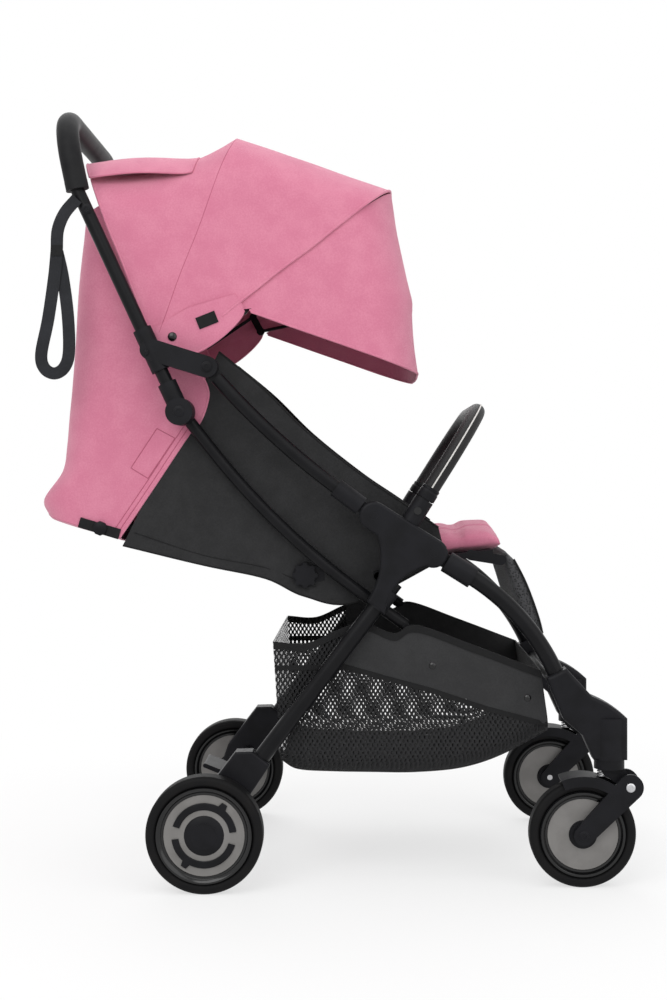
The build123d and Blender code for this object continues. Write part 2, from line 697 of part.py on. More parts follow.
pan_top = step(PAN_REAR, SEAT_HEADING + 90, PAN_T / 2 + FIT)
seat_cushion = pad(pan_top, SEAT_HEADING, PAN_L + CUSHION_NOSE, PAN_Y - EAR_T - 1.5, CUSHION_T, 1, 3)
write(seat_cushion, "seat_cushion")
BACK_PAD_FROM = 34.0
back_face = step(step(RECLINE_PIVOT, BACK_HEADING, BACK_PAD_FROM), BACK_HEADING - 90, BACK_T / 2 + FIT)
backrest_pad = pad(back_face, BACK_HEADING, BACK_L - BACK_PAD_FROM, BACK_Y - 1.5, BACK_PAD_T, -1, 3)
write(backrest_pad, "backrest_pad")

LEG_REST_Y = PAN_Y - EAR_T - RUN_GAP
LEG_REST_FOOT = step(LEG_REST_PIVOT, LEG_REST_HEADING, LEG_REST_L)
with BuildPart() as leg_rest:
    with BuildSketch(side_plane(0)):
        with BuildSketch(mode=Mode.PRIVATE) as ends:
            with Locations(LEG_REST_PIVOT, LEG_REST_FOOT):
                Circle(LEG_REST_T / 2)
        make_hull(ends.sketch.edges())
    extrude(amount=LEG_REST_Y, both=True)
    for side, word in SIDES:
        with BuildSketch(side_plane(side * LEG_REST_Y)):
            with Locations(LEG_REST_PIVOT):
                Circle(EAR_PIN_D / 2 + FIT)
        extrude(amount=side * (EAR_PIN_L + RUN_GAP), mode=Mode.SUBTRACT)
write(leg_rest.part, "leg_rest")

# Lower links: bent tubes with an eye at the push handle's hinge and a wear boss behind the rear leg
LINK_EYE_R = 14.0
BOSS_R = 8.0
KNUCKLE_IN_Y = FRAME_Y - KNUCKLE_R
with BuildPart() as link_tubes:
    for side, word in SIDES:
        y = side * LINK_Y
        top = step(PUSH_PIVOT, heading_of(PUSH_PIVOT, LINK_BEND), LINK_EYE_R - 2)
        corners = [(p[0], y, p[1]) for p in (top, LINK_BEND, LINK_FRONT)]
        with BuildLine() as axis:
            FilletPolyline(*corners, radius=LINK_BEND_R)
        with BuildSketch(Plane(origin=axis.line @ 0, z_dir=axis.line % 0)):
            Circle(LINK_D / 2)
        sweep()
        with BuildSketch(side_plane(side * (KNUCKLE_IN_Y - RUN_GAP))):
            with Locations(PUSH_PIVOT):
                Circle(LINK_EYE_R)
        extrude(amount=side * LINK_D)
        with BuildSketch(side_plane(y)):
            with Locations(PUSH_PIVOT):
                Circle(PIN_D / 2 + FIT)
        extrude(amount=2 * LINK_D, both=True, mode=Mode.SUBTRACT)
        with BuildSketch(side_plane(y)):
            with Locations(LINK_CROSSING):
                Circle(BOSS_R)
        extrude(amount=-side * (FRAME_Y - NECK_SLEEVE_R - CLOTH_GAP - LINK_Y))
write(link_tubes.part, "link_tubes")

# Push handle: tubes, hinge knuckles with their pins, and one foam-covered loop
GRIP_SOCKET = 25.0
TUBE_IN_KNUCKLE = 14.0
for side, word in SIDES:
    foot = step(PUSH_PIVOT, PUSH_HEADING, TUBE_IN_KNUCKLE)
    length = PUSH_L + GRIP_SOCKET - TUBE_IN_KNUCKLE
    write(straight_tube(foot, PUSH_HEADING, length, PUSH_D, side * FRAME_Y), f"push_tube_{word}")

KNUCKLE_OUT = 16.0
KNUCKLE_SLEEVE_L = 42.0
with BuildPart() as hinge_knuckles:
    for side, word in SIDES:
        y = side * FRAME_Y
        with BuildSketch(side_plane(side * KNUCKLE_IN_Y)):
            with Locations(PUSH_PIVOT):
                Circle(KNUCKLE_R)
        extrude(amount=-side * (KNUCKLE_R + KNUCKLE_OUT))
        with BuildSketch(cross_plane(PUSH_PIVOT, PUSH_HEADING, y)):
            Circle(PUSH_D / 2 + SLEEVE_WALL)
        extrude(amount=KNUCKLE_SLEEVE_L)
        with BuildSketch(cross_plane(step(PUSH_PIVOT, PUSH_HEADING, TUBE_IN_KNUCKLE - FIT), PUSH_HEADING, y)):
            Circle(PUSH_D / 2 + FIT)
        extrude(amount=KNUCKLE_SLEEVE_L, mode=Mode.SUBTRACT)
        with BuildSketch(side_plane(side * KNUCKLE_IN_Y)):
            with Locations(PUSH_PIVOT):
                Circle(PIN_D / 2)
        extrude(amount=side * (KNUCKLE_IN_Y - LINK_Y + LINK_D / 2 - 1))
write(hinge_knuckles.part, "hinge_knuckles")

GRIP_BASE = 2.0
GRIP_RING_R = GRIP_D / 2 + 0.2
GRIP_RING_L = 12.0
BUTTON_HEADING = GRIP_HEADING + 90
BUTTON_DEPTH = 8.0
BUTTON_PROUD = 3.2
GRIP_CROSS = step(PUSH_TOP, GRIP_HEADING, GRIP_RISE)
button_face = step(GRIP_CROSS, BUTTON_HEADING, GRIP_D / 2 + BUTTON_PROUD)
with BuildPart() as handle_grip:
    with BuildLine(fan_plane(PUSH_TOP, GRIP_HEADING)) as loop:
        FilletPolyline(
            (-FRAME_Y, GRIP_BASE),
            (-FRAME_Y, GRIP_RISE),
            (FRAME_Y, GRIP_RISE),
            (FRAME_Y, GRIP_BASE),
            radius=GRIP_CORNER_R,
        )
    with BuildSketch(Plane(origin=loop.line @ 0, z_dir=loop.line % 0)):
        Circle(GRIP_D / 2)
    sweep()
    for side, word in SIDES:
        with BuildSketch(cross_plane(step(PUSH_TOP, GRIP_HEADING, GRIP_BASE), GRIP_HEADING, side * FRAME_Y)):
            Circle(GRIP_RING_R)
        extrude(amount=GRIP_RING_L)
    for side, word in SIDES:
        with BuildSketch(cross_plane(step(PUSH_TOP, PUSH_HEADING, -GRIP_SOCKET), PUSH_HEADING, side * FRAME_Y)):
            Circle(PUSH_D / 2 + FIT)
        extrude(amount=2 * GRIP_SOCKET + FIT, mode=Mode.SUBTRACT)
    with BuildSketch(cross_plane(button_face, BUTTON_HEADING, 0)):
        RectangleRounded(BUTTON_L + 2 * RUN_GAP, BUTTON_W + 2 * RUN_GAP, 5.0)
    extrude(amount=-BUTTON_PROUD - BUTTON_DEPTH - BUTTON_TRAVEL - 1, mode=Mode.SUBTRACT)
write(handle_grip.part, "handle_grip")

with BuildPart() as fold_button:
    with BuildSketch(cross_plane(button_face, BUTTON_HEADING, 0)):
        RectangleRounded(BUTTON_L, BUTTON_W, 5.0 - RUN_GAP)
    extrude(amount=-BUTTON_PROUD - BUTTON_DEPTH)
write(fold_button.part, "fold_button")

# Carry strap: a flat webbing loop fixed to the outside of the right push tube
STRAP_T = 2.0
STRAP_W = 13.0
STRAP_DROP = 14.0
STRAP_NECK = (-26.0, -66.0)
STRAP_HANG = (-30.0, -206.0)
STRAP_LOOP_R = 20.0
strap_top = step(PUSH_PIVOT, PUSH_HEADING, PUSH_L - STRAP_DROP)
strap_neck = (strap_top[0] + STRAP_NECK[0], strap_top[1] + STRAP_NECK[1])
strap_foot = (strap_top[0] + STRAP_HANG[0], strap_top[1] + STRAP_HANG[1])
with BuildPart() as carry_strap:
    with BuildSketch(side_plane(-FRAME_Y - PUSH_D / 2 - RUN_GAP)):
        for neck_r, grow, mode in ((STRAP_W / 2, 0.0, Mode.ADD), (1.0, -STRAP_W, Mode.SUBTRACT)):
            with BuildSketch(mode=Mode.PRIVATE) as ends:
                with Locations(step(strap_neck, heading_of(strap_neck, strap_foot), STRAP_W if grow else 0.0)):
                    Circle(neck_r)
                with Locations(strap_foot):
                    Circle(STRAP_LOOP_R + grow)
            make_hull(ends.sketch.edges(), mode=mode)
        with BuildSketch(mode=Mode.PRIVATE) as ends:
            with Locations(strap_top, strap_neck):
                Circle(STRAP_W / 2)
        make_hull(ends.sketch.edges())
    extrude(amount=STRAP_T)
write(carry_strap.part, "carry_strap")

# Hood brackets: a collar that slides on the push tube, with an arm to the side tube's eye
BRACKET_T = 24.0
ARM_R = 14.0
COLLAR_MIDDLE = step(PUSH_PIVOT, PUSH_HEADING, COLLAR_FROM + COLLAR_L / 2)
HUB_PIN_L = FRAME_Y - BRACKET_T / 2 - BOW_FRONT_Y + BOW_D
for side, word in SIDES:
    y = side * FRAME_Y
    with BuildPart() as hood_bracket:
        with BuildSketch(side_plane(y)):
            with BuildSketch(mode=Mode.PRIVATE) as ends:
                with Locations(COLLAR_MIDDLE, HOOD_PIVOT):
                    Circle(ARM_R)
            make_hull(ends.sketch.edges())
        extrude(amount=BRACKET_T / 2, both=True)
        with BuildSketch(cross_plane(step(PUSH_PIVOT, PUSH_HEADING, COLLAR_FROM), PUSH_HEADING, y)):
            Circle(PUSH_D / 2 + COLLAR_WALL)
        extrude(amount=COLLAR_L)
        with BuildSketch(cross_plane(step(PUSH_PIVOT, PUSH_HEADING, COLLAR_FROM), PUSH_HEADING, y)):
            Circle(PUSH_D / 2 + FIT)
        extrude(amount=COLLAR_L, mode=Mode.SUBTRACT)
        with BuildSketch(side_plane(y)):
            with Locations(HOOD_PIVOT):
                Circle(ARM_R + 1)
            with Locations((HOOD_PIVOT[0] + ARM_R, HOOD_PIVOT[1])):
                Rectangle(2 * ARM_R, 3 * ARM_R)
        extrude(amount=EYE_T / 2 + RUN_GAP, both=True, mode=Mode.SUBTRACT)
        with BuildSketch(side_plane(y)):
            with Locations(HOOD_PIVOT):
                Circle(PIN_D / 2)
        extrude(amount=BRACKET_T / 2, both=True)
        with BuildSketch(side_plane(side * (FRAME_Y - BRACKET_T / 2))):
            with Locations(CANOPY_HUB):
                Circle(PIN_D / 2)
        extrude(amount=side * HUB_PIN_L)
    write(hood_bracket.part, f"hood_bracket_{word}")


BOW_EYE_T = BOW_D - 1.0


def bow(hub, heading, reach, half_width, eye_bore):
    """Canopy bow: a wire hoop with a flat eye at each foot."""
    with BuildPart() as hoop:
        with BuildLine(fan_plane(hub, heading)) as wire:
            FilletPolyline(
                (-half_width, eye_bore + 2),
                (-half_width, reach),
                (half_width, reach),
                (half_width, eye_bore + 2),
                radius=CANOPY_ROUND - BOW_INSET,
            )
        with BuildSketch(Plane(origin=wire.line @ 0, z_dir=wire.line % 0)):
            Circle(BOW_D / 2)
        sweep()
        for side, word in SIDES:
            with BuildSketch(side_plane(side * half_width)):
                with Locations(hub):
                    Circle(eye_bore + 4)
            extrude(amount=BOW_EYE_T / 2, both=True)
            with BuildSketch(side_plane(side * half_width)):
                with Locations(hub):
                    Circle(eye_bore)
            extrude(amount=BOW_D, both=True, mode=Mode.SUBTRACT)
    return hoop.part


VISOR_PIN_D = 4.0
write(bow(CANOPY_HUB, MID_BOW[0], MID_BOW[1] - BOW_INSET - BOW_DROP, BOW_MID_Y, PIN_D / 2 + FIT), "canopy_bow_mid")
write(bow(VISOR_PIVOT, VISOR_BOW[0], VISOR_BOW[1] - BOW_INSET, VISOR_BOW_Y, VISOR_PIN_D / 2 + FIT), "visor_bow")

front_wire = bow(CANOPY_HUB, FRONT_BOW[0], FRONT_BOW[1] - BOW_INSET - BOW_DROP, BOW_FRONT_Y, PIN_D / 2 + FIT)
LUG_ROOT = step(CANOPY_HUB, FRONT_BOW[0], span(CANOPY_HUB, VISOR_PIVOT))
with BuildPart() as canopy_bow_front:
    add(front_wire)
    for side, word in SIDES:
        with BuildSketch(side_plane(side * BOW_FRONT_Y)):
            with BuildSketch(mode=Mode.PRIVATE) as ends:
                with Locations(LUG_ROOT, VISOR_PIVOT):
                    Circle(5.0)
            make_hull(ends.sketch.edges())
        extrude(amount=BOW_D / 2, both=True)
        with BuildSketch(side_plane(side * BOW_FRONT_Y)):
            with Locations(VISOR_PIVOT):
                Circle(VISOR_PIN_D / 2)
        extrude(amount=side * (BOW_FRONT_Y - VISOR_BOW_Y + BOW_D / 2))
write(canopy_bow_front.part, "canopy_bow_front")


def arch_section(hub, heading, reach, foot, half_width):
    """Cross-section of a fabric arch in the plane through its hub at a heading."""
    with BuildSketch(fan_plane(hub, heading)) as arch:
        for inset, mode in ((0.0, Mode.ADD), (CANOPY_T, Mode.SUBTRACT)):
            width = half_width - inset
            top = reach - inset
            corner = CANOPY_ROUND - inset
            turn = corner * (1 - math.sqrt(0.5))
            with BuildLine():
                Line((-width, foot), (-width, top - corner))
                ThreePointArc((-width, top - corner), (turn - width, top - turn), (corner - width, top))
                Line((corner - width, top), (width - corner, top))
                ThreePointArc((width - corner, top), (width - turn, top - turn), (width, top - corner))
                Line((width, top - corner), (width, foot))
                Line((width, foot), (-width, foot))
            make_face(mode=mode)
    return arch.sketch


ROOF_LINE = (REAR_EDGE, MID_BOW, FRONT_BOW)
with BuildPart() as canopy_cloth:
    sections = [arch_section(CANOPY_HUB, h, r, HUB_REACH, CANOPY_Y) for h, r in ROOF_LINE]
    loft(sections, ruled=True)
write(canopy_cloth.part, "canopy_cloth")

VISOR_TOP = (34.0, 246.0)
VISOR_FOOT = 10.0
with BuildPart() as visor_cloth:
    folds = (VISOR_TOP, VISOR_CREASE, VISOR_HEM)
    sections = [arch_section(VISOR_PIVOT, h, r, VISOR_FOOT, CANOPY_Y - CANOPY_T - RUN_GAP) for h, r in folds]
    loft(sections, ruled=True)
write(visor_cloth.part, "visor_cloth")

# Side cloths of the seat, thin panels inside the links
SIDE_CLOTH_REAR = ((-178.0, 612.0), (-158.0, 690.0), (-150.0, 704.0))
SIDE_CLOTH_TOP = ((-150.0, 704.0), (-39.0, 600.0), (80.0, 512.0))
SIDE_CLOTH_LOW = ((80.0, 512.0), (140.0, 470.0), (150.0, 430.0), (-5.0, 376.0), (-282.0, 450.0), (-178.0, 612.0))
for side, word in SIDES:
    with BuildPart() as side_cloth:
        with BuildSketch(side_plane(side * CLOTH_Y)):
            with BuildLine():
                Polyline(*SIDE_CLOTH_REAR)
                ThreePointArc(*SIDE_CLOTH_TOP)
                Polyline(*SIDE_CLOTH_LOW)
            make_face()
            with Locations(RECLINE_PIVOT):
                Circle(HUB_R + 5, mode=Mode.SUBTRACT)
            with Locations(SEAT_BAR):
                Circle(SEAT_BAR_D / 2 + CLOTH_GAP, mode=Mode.SUBTRACT)
        extrude(amount=side * CLOTH_T)
    write(side_cloth.part, f"side_cloth_{word}")

# Back cloth: a soft shell behind the backrest with a back wall and two side walls
BACK_SPINE = (
    (-336.0, 880.0),
    (-349.0, 800.0),
    (-350.0, 700.0),
    (-355.0, 620.0),
    (-366.0, 545.0),
    (-392.0, 500.0),
    (-380.0, 478.0),
    (-308.0, 455.0),
    (-286.0, 451.0),
)
BACK_FRONT = ((-180.0, 613.0), (-160.0, 690.0), (-210.0, 700.0))
with BuildPart() as back_cloth:
    with BuildSketch(side_plane(0)):
        with BuildLine():
            spine = Polyline(*BACK_SPINE)
            offset(spine, amount=CLOTH_T / 2)
        make_face()
    extrude(amount=CLOTH_Y, both=True)
    for side, word in SIDES:
        with BuildSketch(side_plane(side * CLOTH_Y)):
            with BuildLine():
                Polyline(spine @ 1, *BACK_FRONT, spine @ 0)
                add(spine)
            make_face()
        extrude(amount=side * CLOTH_T)
write(back_cloth.part, "back_cloth")

# Basket: a sagging tub hung between the rear legs and the front frame, open on top
BASKET_Y = FRAME_Y - LEG_D / 2 - CLOTH_GAP
BASKET_REAR_X = -80.0
BASKET_FRONT_X = 284.0
BASKET_FLOOR_Z = 144.0
BASKET_BACK_Z = 316.0
BASKET_FRONT_Z = 280.0
BASKET_BROW = (110.0, 336.0)
BASKET_SWEEP = 60.0
BASKET_HEEL = 36.0
BASKET_TOE = 50.0
BASKET_SAG_X = 95.0
BASKET_LEAN = 9.0


def basket_outline(inset):
    """Side outline of the basket, drawn in by an inset on all but its open top."""
    rear = BASKET_REAR_X + inset
    front = BASKET_FRONT_X - inset
    floor = BASKET_FLOOR_Z + inset
    lift = BASKET_SWEEP if inset else 0.0
    heel = (rear + BASKET_HEEL, floor + 2)
    toe = (front - BASKET_TOE, floor + 8)
    nose = (front - 3, floor + 56)
    spur = (rear + 10, floor + 24)
    with BuildSketch(side_plane(0)) as outline:
        with BuildLine():
            Polyline(
                nose,
                (front - BASKET_LEAN, BASKET_FRONT_Z + lift),
                (BASKET_BROW[0], BASKET_BROW[1] + lift),
                (rear, BASKET_BACK_Z + lift),
                spur,
            )
            ThreePointArc(spur, (rear + 18, floor + 8), heel)
            ThreePointArc(heel, (BASKET_SAG_X, floor - 4), toe)
            ThreePointArc(toe, (front - 16, floor + 24), nose)
        make_face()
    return outline.sketch


with BuildPart() as basket:
    extrude(basket_outline(0.0), amount=BASKET_Y, both=True)
    extrude(basket_outline(CLOTH_T), amount=BASKET_Y - CLOTH_T, both=True, mode=Mode.SUBTRACT)
write(basket.part, "basket")

# Guard bar: sockets on the side housings, a padded loop that plugs in, and release buttons
BAND_HEADING = heading_of(SIDE_PIVOT, LEG_PIVOT)
GUARD_HEADING = BAND_HEADING + 90
GUARD_SEAT = step(step(SIDE_PIVOT, BAND_HEADING, GUARD_ALONG), GUARD_HEADING, BAND_R)
GUARD_TOP = step(GUARD_SEAT, GUARD_HEADING, GUARD_SOCKET_L)
GUARD_BUTTON = step(GUARD_SEAT, GUARD_HEADING, GUARD_SOCKET_L / 2)
GUARD_BUTTON_D = 10.0
GUARD_BUTTON_L = 4.0
GUARD_BUTTON_PROUD = 2.0
GUARD_BUTTON_TRAVEL = 2.0
button_outer_y = FRAME_Y + GUARD_SOCKET_R + GUARD_BUTTON_PROUD
with BuildPart() as guard_sockets:
    for side, word in SIDES:
        y = side * FRAME_Y
        with BuildSketch(cross_plane(GUARD_SEAT, GUARD_HEADING, y)):
            Circle(GUARD_SOCKET_R)
        extrude(amount=GUARD_SOCKET_L)
        with BuildSketch(cross_plane(GUARD_TOP, GUARD_HEADING, y)):
            Circle(PEG_D / 2 + FIT)
        extrude(amount=-PEG_L - 1, mode=Mode.SUBTRACT)
        with BuildSketch(side_plane(side * button_outer_y)):
            with Locations(GUARD_BUTTON):
                Circle(GUARD_BUTTON_D / 2 + FIT)
        extrude(amount=side * (GUARD_BUTTON_L + GUARD_BUTTON_TRAVEL + 0.5), mode=Mode.SUBTRACT)
write(guard_sockets.part, "guard_sockets")

with BuildPart() as guard_bar:
    with BuildLine(fan_plane(GUARD_TOP, GUARD_HEADING)) as loop:
        FilletPolyline(
            (-FRAME_Y, RUN_GAP),
            (-FRAME_Y, GUARD_REACH),
            (FRAME_Y, GUARD_REACH),
            (FRAME_Y, RUN_GAP),
            radius=GUARD_CORNER_R,
        )
    with BuildSketch(Plane(origin=loop.line @ 0, z_dir=loop.line % 0)):
        Circle(GUARD_D / 2)
    sweep()
    for side, word in SIDES:
        with BuildSketch(cross_plane(step(GUARD_TOP, GUARD_HEADING, 1), GUARD_HEADING, side * FRAME_Y)):
            Circle(PEG_D / 2)
        extrude(amount=-PEG_L - 1)
write(guard_bar.part, "guard_bar")

for side, word in SIDES:
    with BuildPart() as guard_button:
        with BuildSketch(side_plane(side * button_outer_y)):
            with Locations(GUARD_BUTTON):
                Circle(GUARD_BUTTON_D / 2)
        extrude(amount=side * GUARD_BUTTON_L)
    write(guard_button.part, f"guard_button_{word}")
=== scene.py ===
"""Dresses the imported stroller: sewn cloth, pads, webbing, trim, finishes, floor, light and camera."""

import json
import logging
import math
from dataclasses import dataclass, field
from enum import Enum
from functools import cached_property
from typing import Callable, ClassVar, Optional, Sequence, TypeVar, Union

import bmesh
import bpy
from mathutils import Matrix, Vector, noise

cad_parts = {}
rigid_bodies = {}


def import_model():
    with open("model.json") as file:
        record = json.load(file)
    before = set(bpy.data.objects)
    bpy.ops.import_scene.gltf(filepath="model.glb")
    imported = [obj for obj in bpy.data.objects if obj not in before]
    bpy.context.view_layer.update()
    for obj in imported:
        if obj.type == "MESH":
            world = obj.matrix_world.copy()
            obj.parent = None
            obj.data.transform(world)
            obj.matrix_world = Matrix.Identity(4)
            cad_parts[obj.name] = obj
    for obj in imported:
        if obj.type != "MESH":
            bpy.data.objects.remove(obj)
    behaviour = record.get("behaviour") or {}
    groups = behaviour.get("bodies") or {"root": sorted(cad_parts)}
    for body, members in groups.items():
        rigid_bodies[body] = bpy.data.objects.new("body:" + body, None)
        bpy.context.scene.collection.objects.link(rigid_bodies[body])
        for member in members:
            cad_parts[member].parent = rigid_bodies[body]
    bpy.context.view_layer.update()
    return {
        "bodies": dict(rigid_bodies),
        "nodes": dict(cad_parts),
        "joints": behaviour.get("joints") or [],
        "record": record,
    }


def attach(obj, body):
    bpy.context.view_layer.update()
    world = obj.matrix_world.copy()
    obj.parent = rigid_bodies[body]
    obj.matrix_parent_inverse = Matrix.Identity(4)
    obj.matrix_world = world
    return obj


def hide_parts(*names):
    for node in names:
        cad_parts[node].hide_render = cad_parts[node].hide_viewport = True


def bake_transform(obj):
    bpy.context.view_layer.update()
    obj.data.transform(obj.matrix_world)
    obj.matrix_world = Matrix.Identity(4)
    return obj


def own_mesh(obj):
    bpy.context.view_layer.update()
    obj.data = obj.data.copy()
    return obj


LOG = logging.getLogger("stroller")
MM = 0.001
WELD = 1e-6
FLAT_STEPS = 8
BEAD_FINENESS = 4
WHITE = (1.0, 1.0, 1.0)
SIDES = (("left", 1.0), ("right", -1.0))

Point = tuple[float, float, float]
Flat = tuple[float, float]
Colour = tuple[float, float, float]
Row = list[Point]
Spot = TypeVar("Spot", Point, Flat)


def srgb(red: int, green: int, blue: int) -> Colour:
    """Turns an 8-bit display colour into linear values.

    Args:
        red: Red level from 0 to 255.
        green: Green level from 0 to 255.
        blue: Blue level from 0 to 255.

    Returns:
        The linear colour.
    """
    levels = (level / 255 for level in (red, green, blue))
    return tuple(v / 12.92 if v <= 0.04045 else ((v + 0.055) / 1.055) ** 2.4 for v in levels)


class Held(str, Enum):
    """How a sheet of cloth is held."""

    STRETCHED = "stretched"
    HUNG = "hung"


class Val:
    """A shader value; Python arithmetic on it adds Math nodes."""

    def __init__(self, graph: "Graph", socket: bpy.types.NodeSocket) -> None:
        """Wraps one output socket of a graph."""
        self.graph = graph
        self.socket = socket

    def _math(self, operation: str, first: "Term", second: "Term" = 0.0) -> "Val":
        """Adds one Math node."""
        return self.graph.value("ShaderNodeMath", {"operation": operation}, {0: first, 1: second})

    def __add__(self, other: "Term") -> "Val":
        """Sum."""
        return self._math("ADD", self, other)

    __radd__ = __add__

    def __sub__(self, other: "Term") -> "Val":
        """Difference."""
        return self._math("SUBTRACT", self, other)

    def __rsub__(self, other: "Term") -> "Val":
        """Difference from a number."""
        return self._math("SUBTRACT", other, self)

    def __mul__(self, other: "Term") -> "Val":
        """Product."""
        return self._math("MULTIPLY", self, other)

    __rmul__ = __mul__

    def sine(self) -> "Val":
        """Sine of the value."""
        return self._math("SINE", self)

    def magnitude(self) -> "Val":
        """Value without its sign."""
        return self._math("ABSOLUTE", self)

    def top(self, other: "Term") -> "Val":
        """Larger of two values."""
        return self._math("MAXIMUM", self, other)

    def above(self, other: "Term") -> "Val":
        """One where the value exceeds another, else zero."""
        return self._math("GREATER_THAN", self, other)

    def ramp(self, low: float, high: float) -> "Val":
        """Smooth step from zero at low to one at high."""
        settings = {"interpolation_type": "SMOOTHSTEP"}
        return self.graph.value("ShaderNodeMapRange", settings, {0: self, 1: low, 2: high, 3: 0.0, 4: 1.0})


Term = Union[Val, float]


class Graph:
    """Node tree of one material or world."""

    def __init__(self, name: str, kind: str = "materials") -> None:
        """Starts an empty tree on new data of that name and kind."""
        self.owner = getattr(bpy.data, kind).new(name)
        self.owner.use_nodes = True
        self.tree = self.owner.node_tree
        self.tree.nodes.clear()

    def node(self, kind: str, settings: Optional[dict] = None,
             inputs: Optional[dict] = None) -> bpy.types.Node:
        """Adds a node.

        Args:
            kind: Node type.
            settings: Attributes set first.
            inputs: Socket number or name to a value, colour or link.

        Returns:
            The new node.
        """
        made = self.tree.nodes.new(kind)
        for key, value in (settings or {}).items():
            setattr(made, key, value)
        for key, value in (inputs or {}).items():
            if isinstance(value, Val):
                self.tree.links.new(value.socket, made.inputs[key])
            elif isinstance(value, tuple) and len(value) == 3 and made.inputs[key].type == "RGBA":
                made.inputs[key].default_value = (*value, 1.0)
            else:
                made.inputs[key].default_value = value
        return made

    def value(self, kind: str, settings: Optional[dict] = None, inputs: Optional[dict] = None,
              output: Union[int, str] = 0) -> Val:
        """Adds a node and takes one of its outputs."""
        return Val(self, self.node(kind, settings, inputs).outputs[output])

    def end(self, shader: Val, kind: str = "ShaderNodeOutputMaterial") -> bpy.types.ID:
        """Ends the tree in a shader and hands out the finished material or world."""
        self.node(kind, inputs={0: shader})
        return self.owner

    def place(self) -> Val:
        """Position on the piece, in metres, as a vector."""
        return self.value("ShaderNodeTexCoord", output="Object")

    def axes(self) -> tuple[Val, Val, Val]:
        """The three parts of the position, in millimetres."""
        parts = self.node("ShaderNodeSeparateXYZ", inputs={0: self.place()})
        return tuple(Val(self, out) * (1 / MM) for out in parts.outputs)

    def speckle(self, size: float, detail: float = 2.0) -> Val:
        """Noise between 0 and 1 with features of a size in millimetres."""
        inputs = {"Vector": self.place(), "Scale": 1 / (size * MM), "Detail": detail}
        return self.value("ShaderNodeTexNoise", inputs=inputs)

    def cells(self, size: float) -> Val:
        """Distance to the nearest cell centre, for grain of a size in millimetres."""
        inputs = {"Vector": self.place(), "Scale": 1 / (size * MM)}
        return self.value("ShaderNodeTexVoronoi", inputs=inputs, output="Distance")

    def tint(self, share: Term, first: Colour, second: Colour) -> Val:
        """Mixes two colours by a share."""
        return self.value("ShaderNodeMix", {"data_type": "RGBA"}, {0: share, 6: first, 7: second}, output=2)

    def bump(self, height: Val, depth: float, strength: float) -> Val:
        """Turns a height into a normal, with a depth in millimetres."""
        inputs = {"Height": height, "Distance": depth * MM, "Strength": strength}
        return self.value("ShaderNodeBump", inputs=inputs)

    def surface(self, **sockets: Union[Val, float, Colour]) -> bpy.types.Material:
        """Ends the tree in one Principled shader.

        Args:
            sockets: Input names with underscores for spaces, and their values.

        Returns:
            The finished material.
        """
        named = {key.replace("_", " "): value for key, value in sockets.items()}
        return self.end(self.value("ShaderNodeBsdfPrincipled", inputs=named))


@dataclass(frozen=True)
class Woven:
    """Plain-woven cloth with a thread pattern, soft mottling, painted shade in the weave's valleys and fuzz.
    """

    name: str
    colour: Colour
    shade: Colour
    thread: float = 1.1
    fuzz: float = 0.25
    depth: float = 0.25
    roughness: float = 0.82

    def weave(self, graph: Graph) -> Val:
        """Height of the crossing threads."""
        x, y, z = graph.axes()
        turn = 2 * math.pi / self.thread
        warp = ((x + y * 0.7) * turn).sine()
        weft = ((z + y * 0.7) * turn).sine()
        return warp * weft

    def material(self) -> bpy.types.Material:
        """Builds the cloth's material."""
        graph = Graph(self.name)
        height = self.weave(graph)
        mottle = graph.speckle(28.0) * 0.55 + graph.speckle(2.2) * 0.45
        # The darker shade colour comes in at random through the mottling, and as painted shade in the low
        # valleys between the threads.
        share = mottle.ramp(0.3, 0.75) * 0.8 + height.ramp(-0.9, 0.9) * 0.2
        rough = graph.speckle(9.0) * 0.12 + (self.roughness - 0.06)
        relief = height + graph.speckle(1.6) * 0.8
        return graph.surface(
            Base_Color=graph.tint(share, self.shade, self.colour),
            Roughness=rough,
            Normal=graph.bump(relief, self.depth, 0.5),
            Sheen_Weight=self.fuzz,
            Sheen_Roughness=0.5,
            Specular_IOR_Level=0.25,
        )


@dataclass(frozen=True)
class Net:
    """Knitted net with open round holes in staggered rows."""

    name: str
    colour: Colour
    pitch: float = 12.6
    hole: float = 0.34

    def material(self) -> bpy.types.Material:
        """Builds the net's material, with holes in its alpha."""
        graph = Graph(self.name)
        x, y, z = graph.axes()
        turn = 2 * math.pi / self.pitch
        across = (x + y) * turn
        first = (across + z * (turn * 0.62)).sine()
        second = (across - z * (turn * 0.62)).sine()
        lattice = first * second
        thread = 1.0 - lattice.magnitude().above(self.hole)
        rough = graph.speckle(2.0) * 0.1 + 0.7
        relief = graph.bump(1.0 - lattice.magnitude(), 0.8, 0.6)
        cloth = graph.tint(graph.speckle(3.0), self.colour, tuple(c * 1.8 for c in self.colour))
        return graph.surface(
            Base_Color=cloth,
            Roughness=rough,
            Normal=relief,
            Alpha=thread,
            Specular_IOR_Level=0.2,
        )


@dataclass(frozen=True)
class Knit:
    """Dense spacer knit with a small honeycomb relief and painted shade in the hollows of its cells."""

    name: str
    colour: Colour
    shade: Colour
    pitch: float = 4.2

    def material(self) -> bpy.types.Material:
        """Builds the knit's material."""
        graph = Graph(self.name)
        cell = graph.cells(self.pitch)
        # The sunken cell centres take the darker shade colour: painted shade.
        share = cell.ramp(0.15, 0.6)
        return graph.surface(
            Base_Color=graph.tint(share, self.shade, self.colour),
            Roughness=graph.speckle(3.0) * 0.1 + 0.75,
            Normal=graph.bump(share + graph.speckle(1.2) * 0.3, 0.8, 0.6),
            Sheen_Weight=0.08,
            Specular_IOR_Level=0.25,
        )


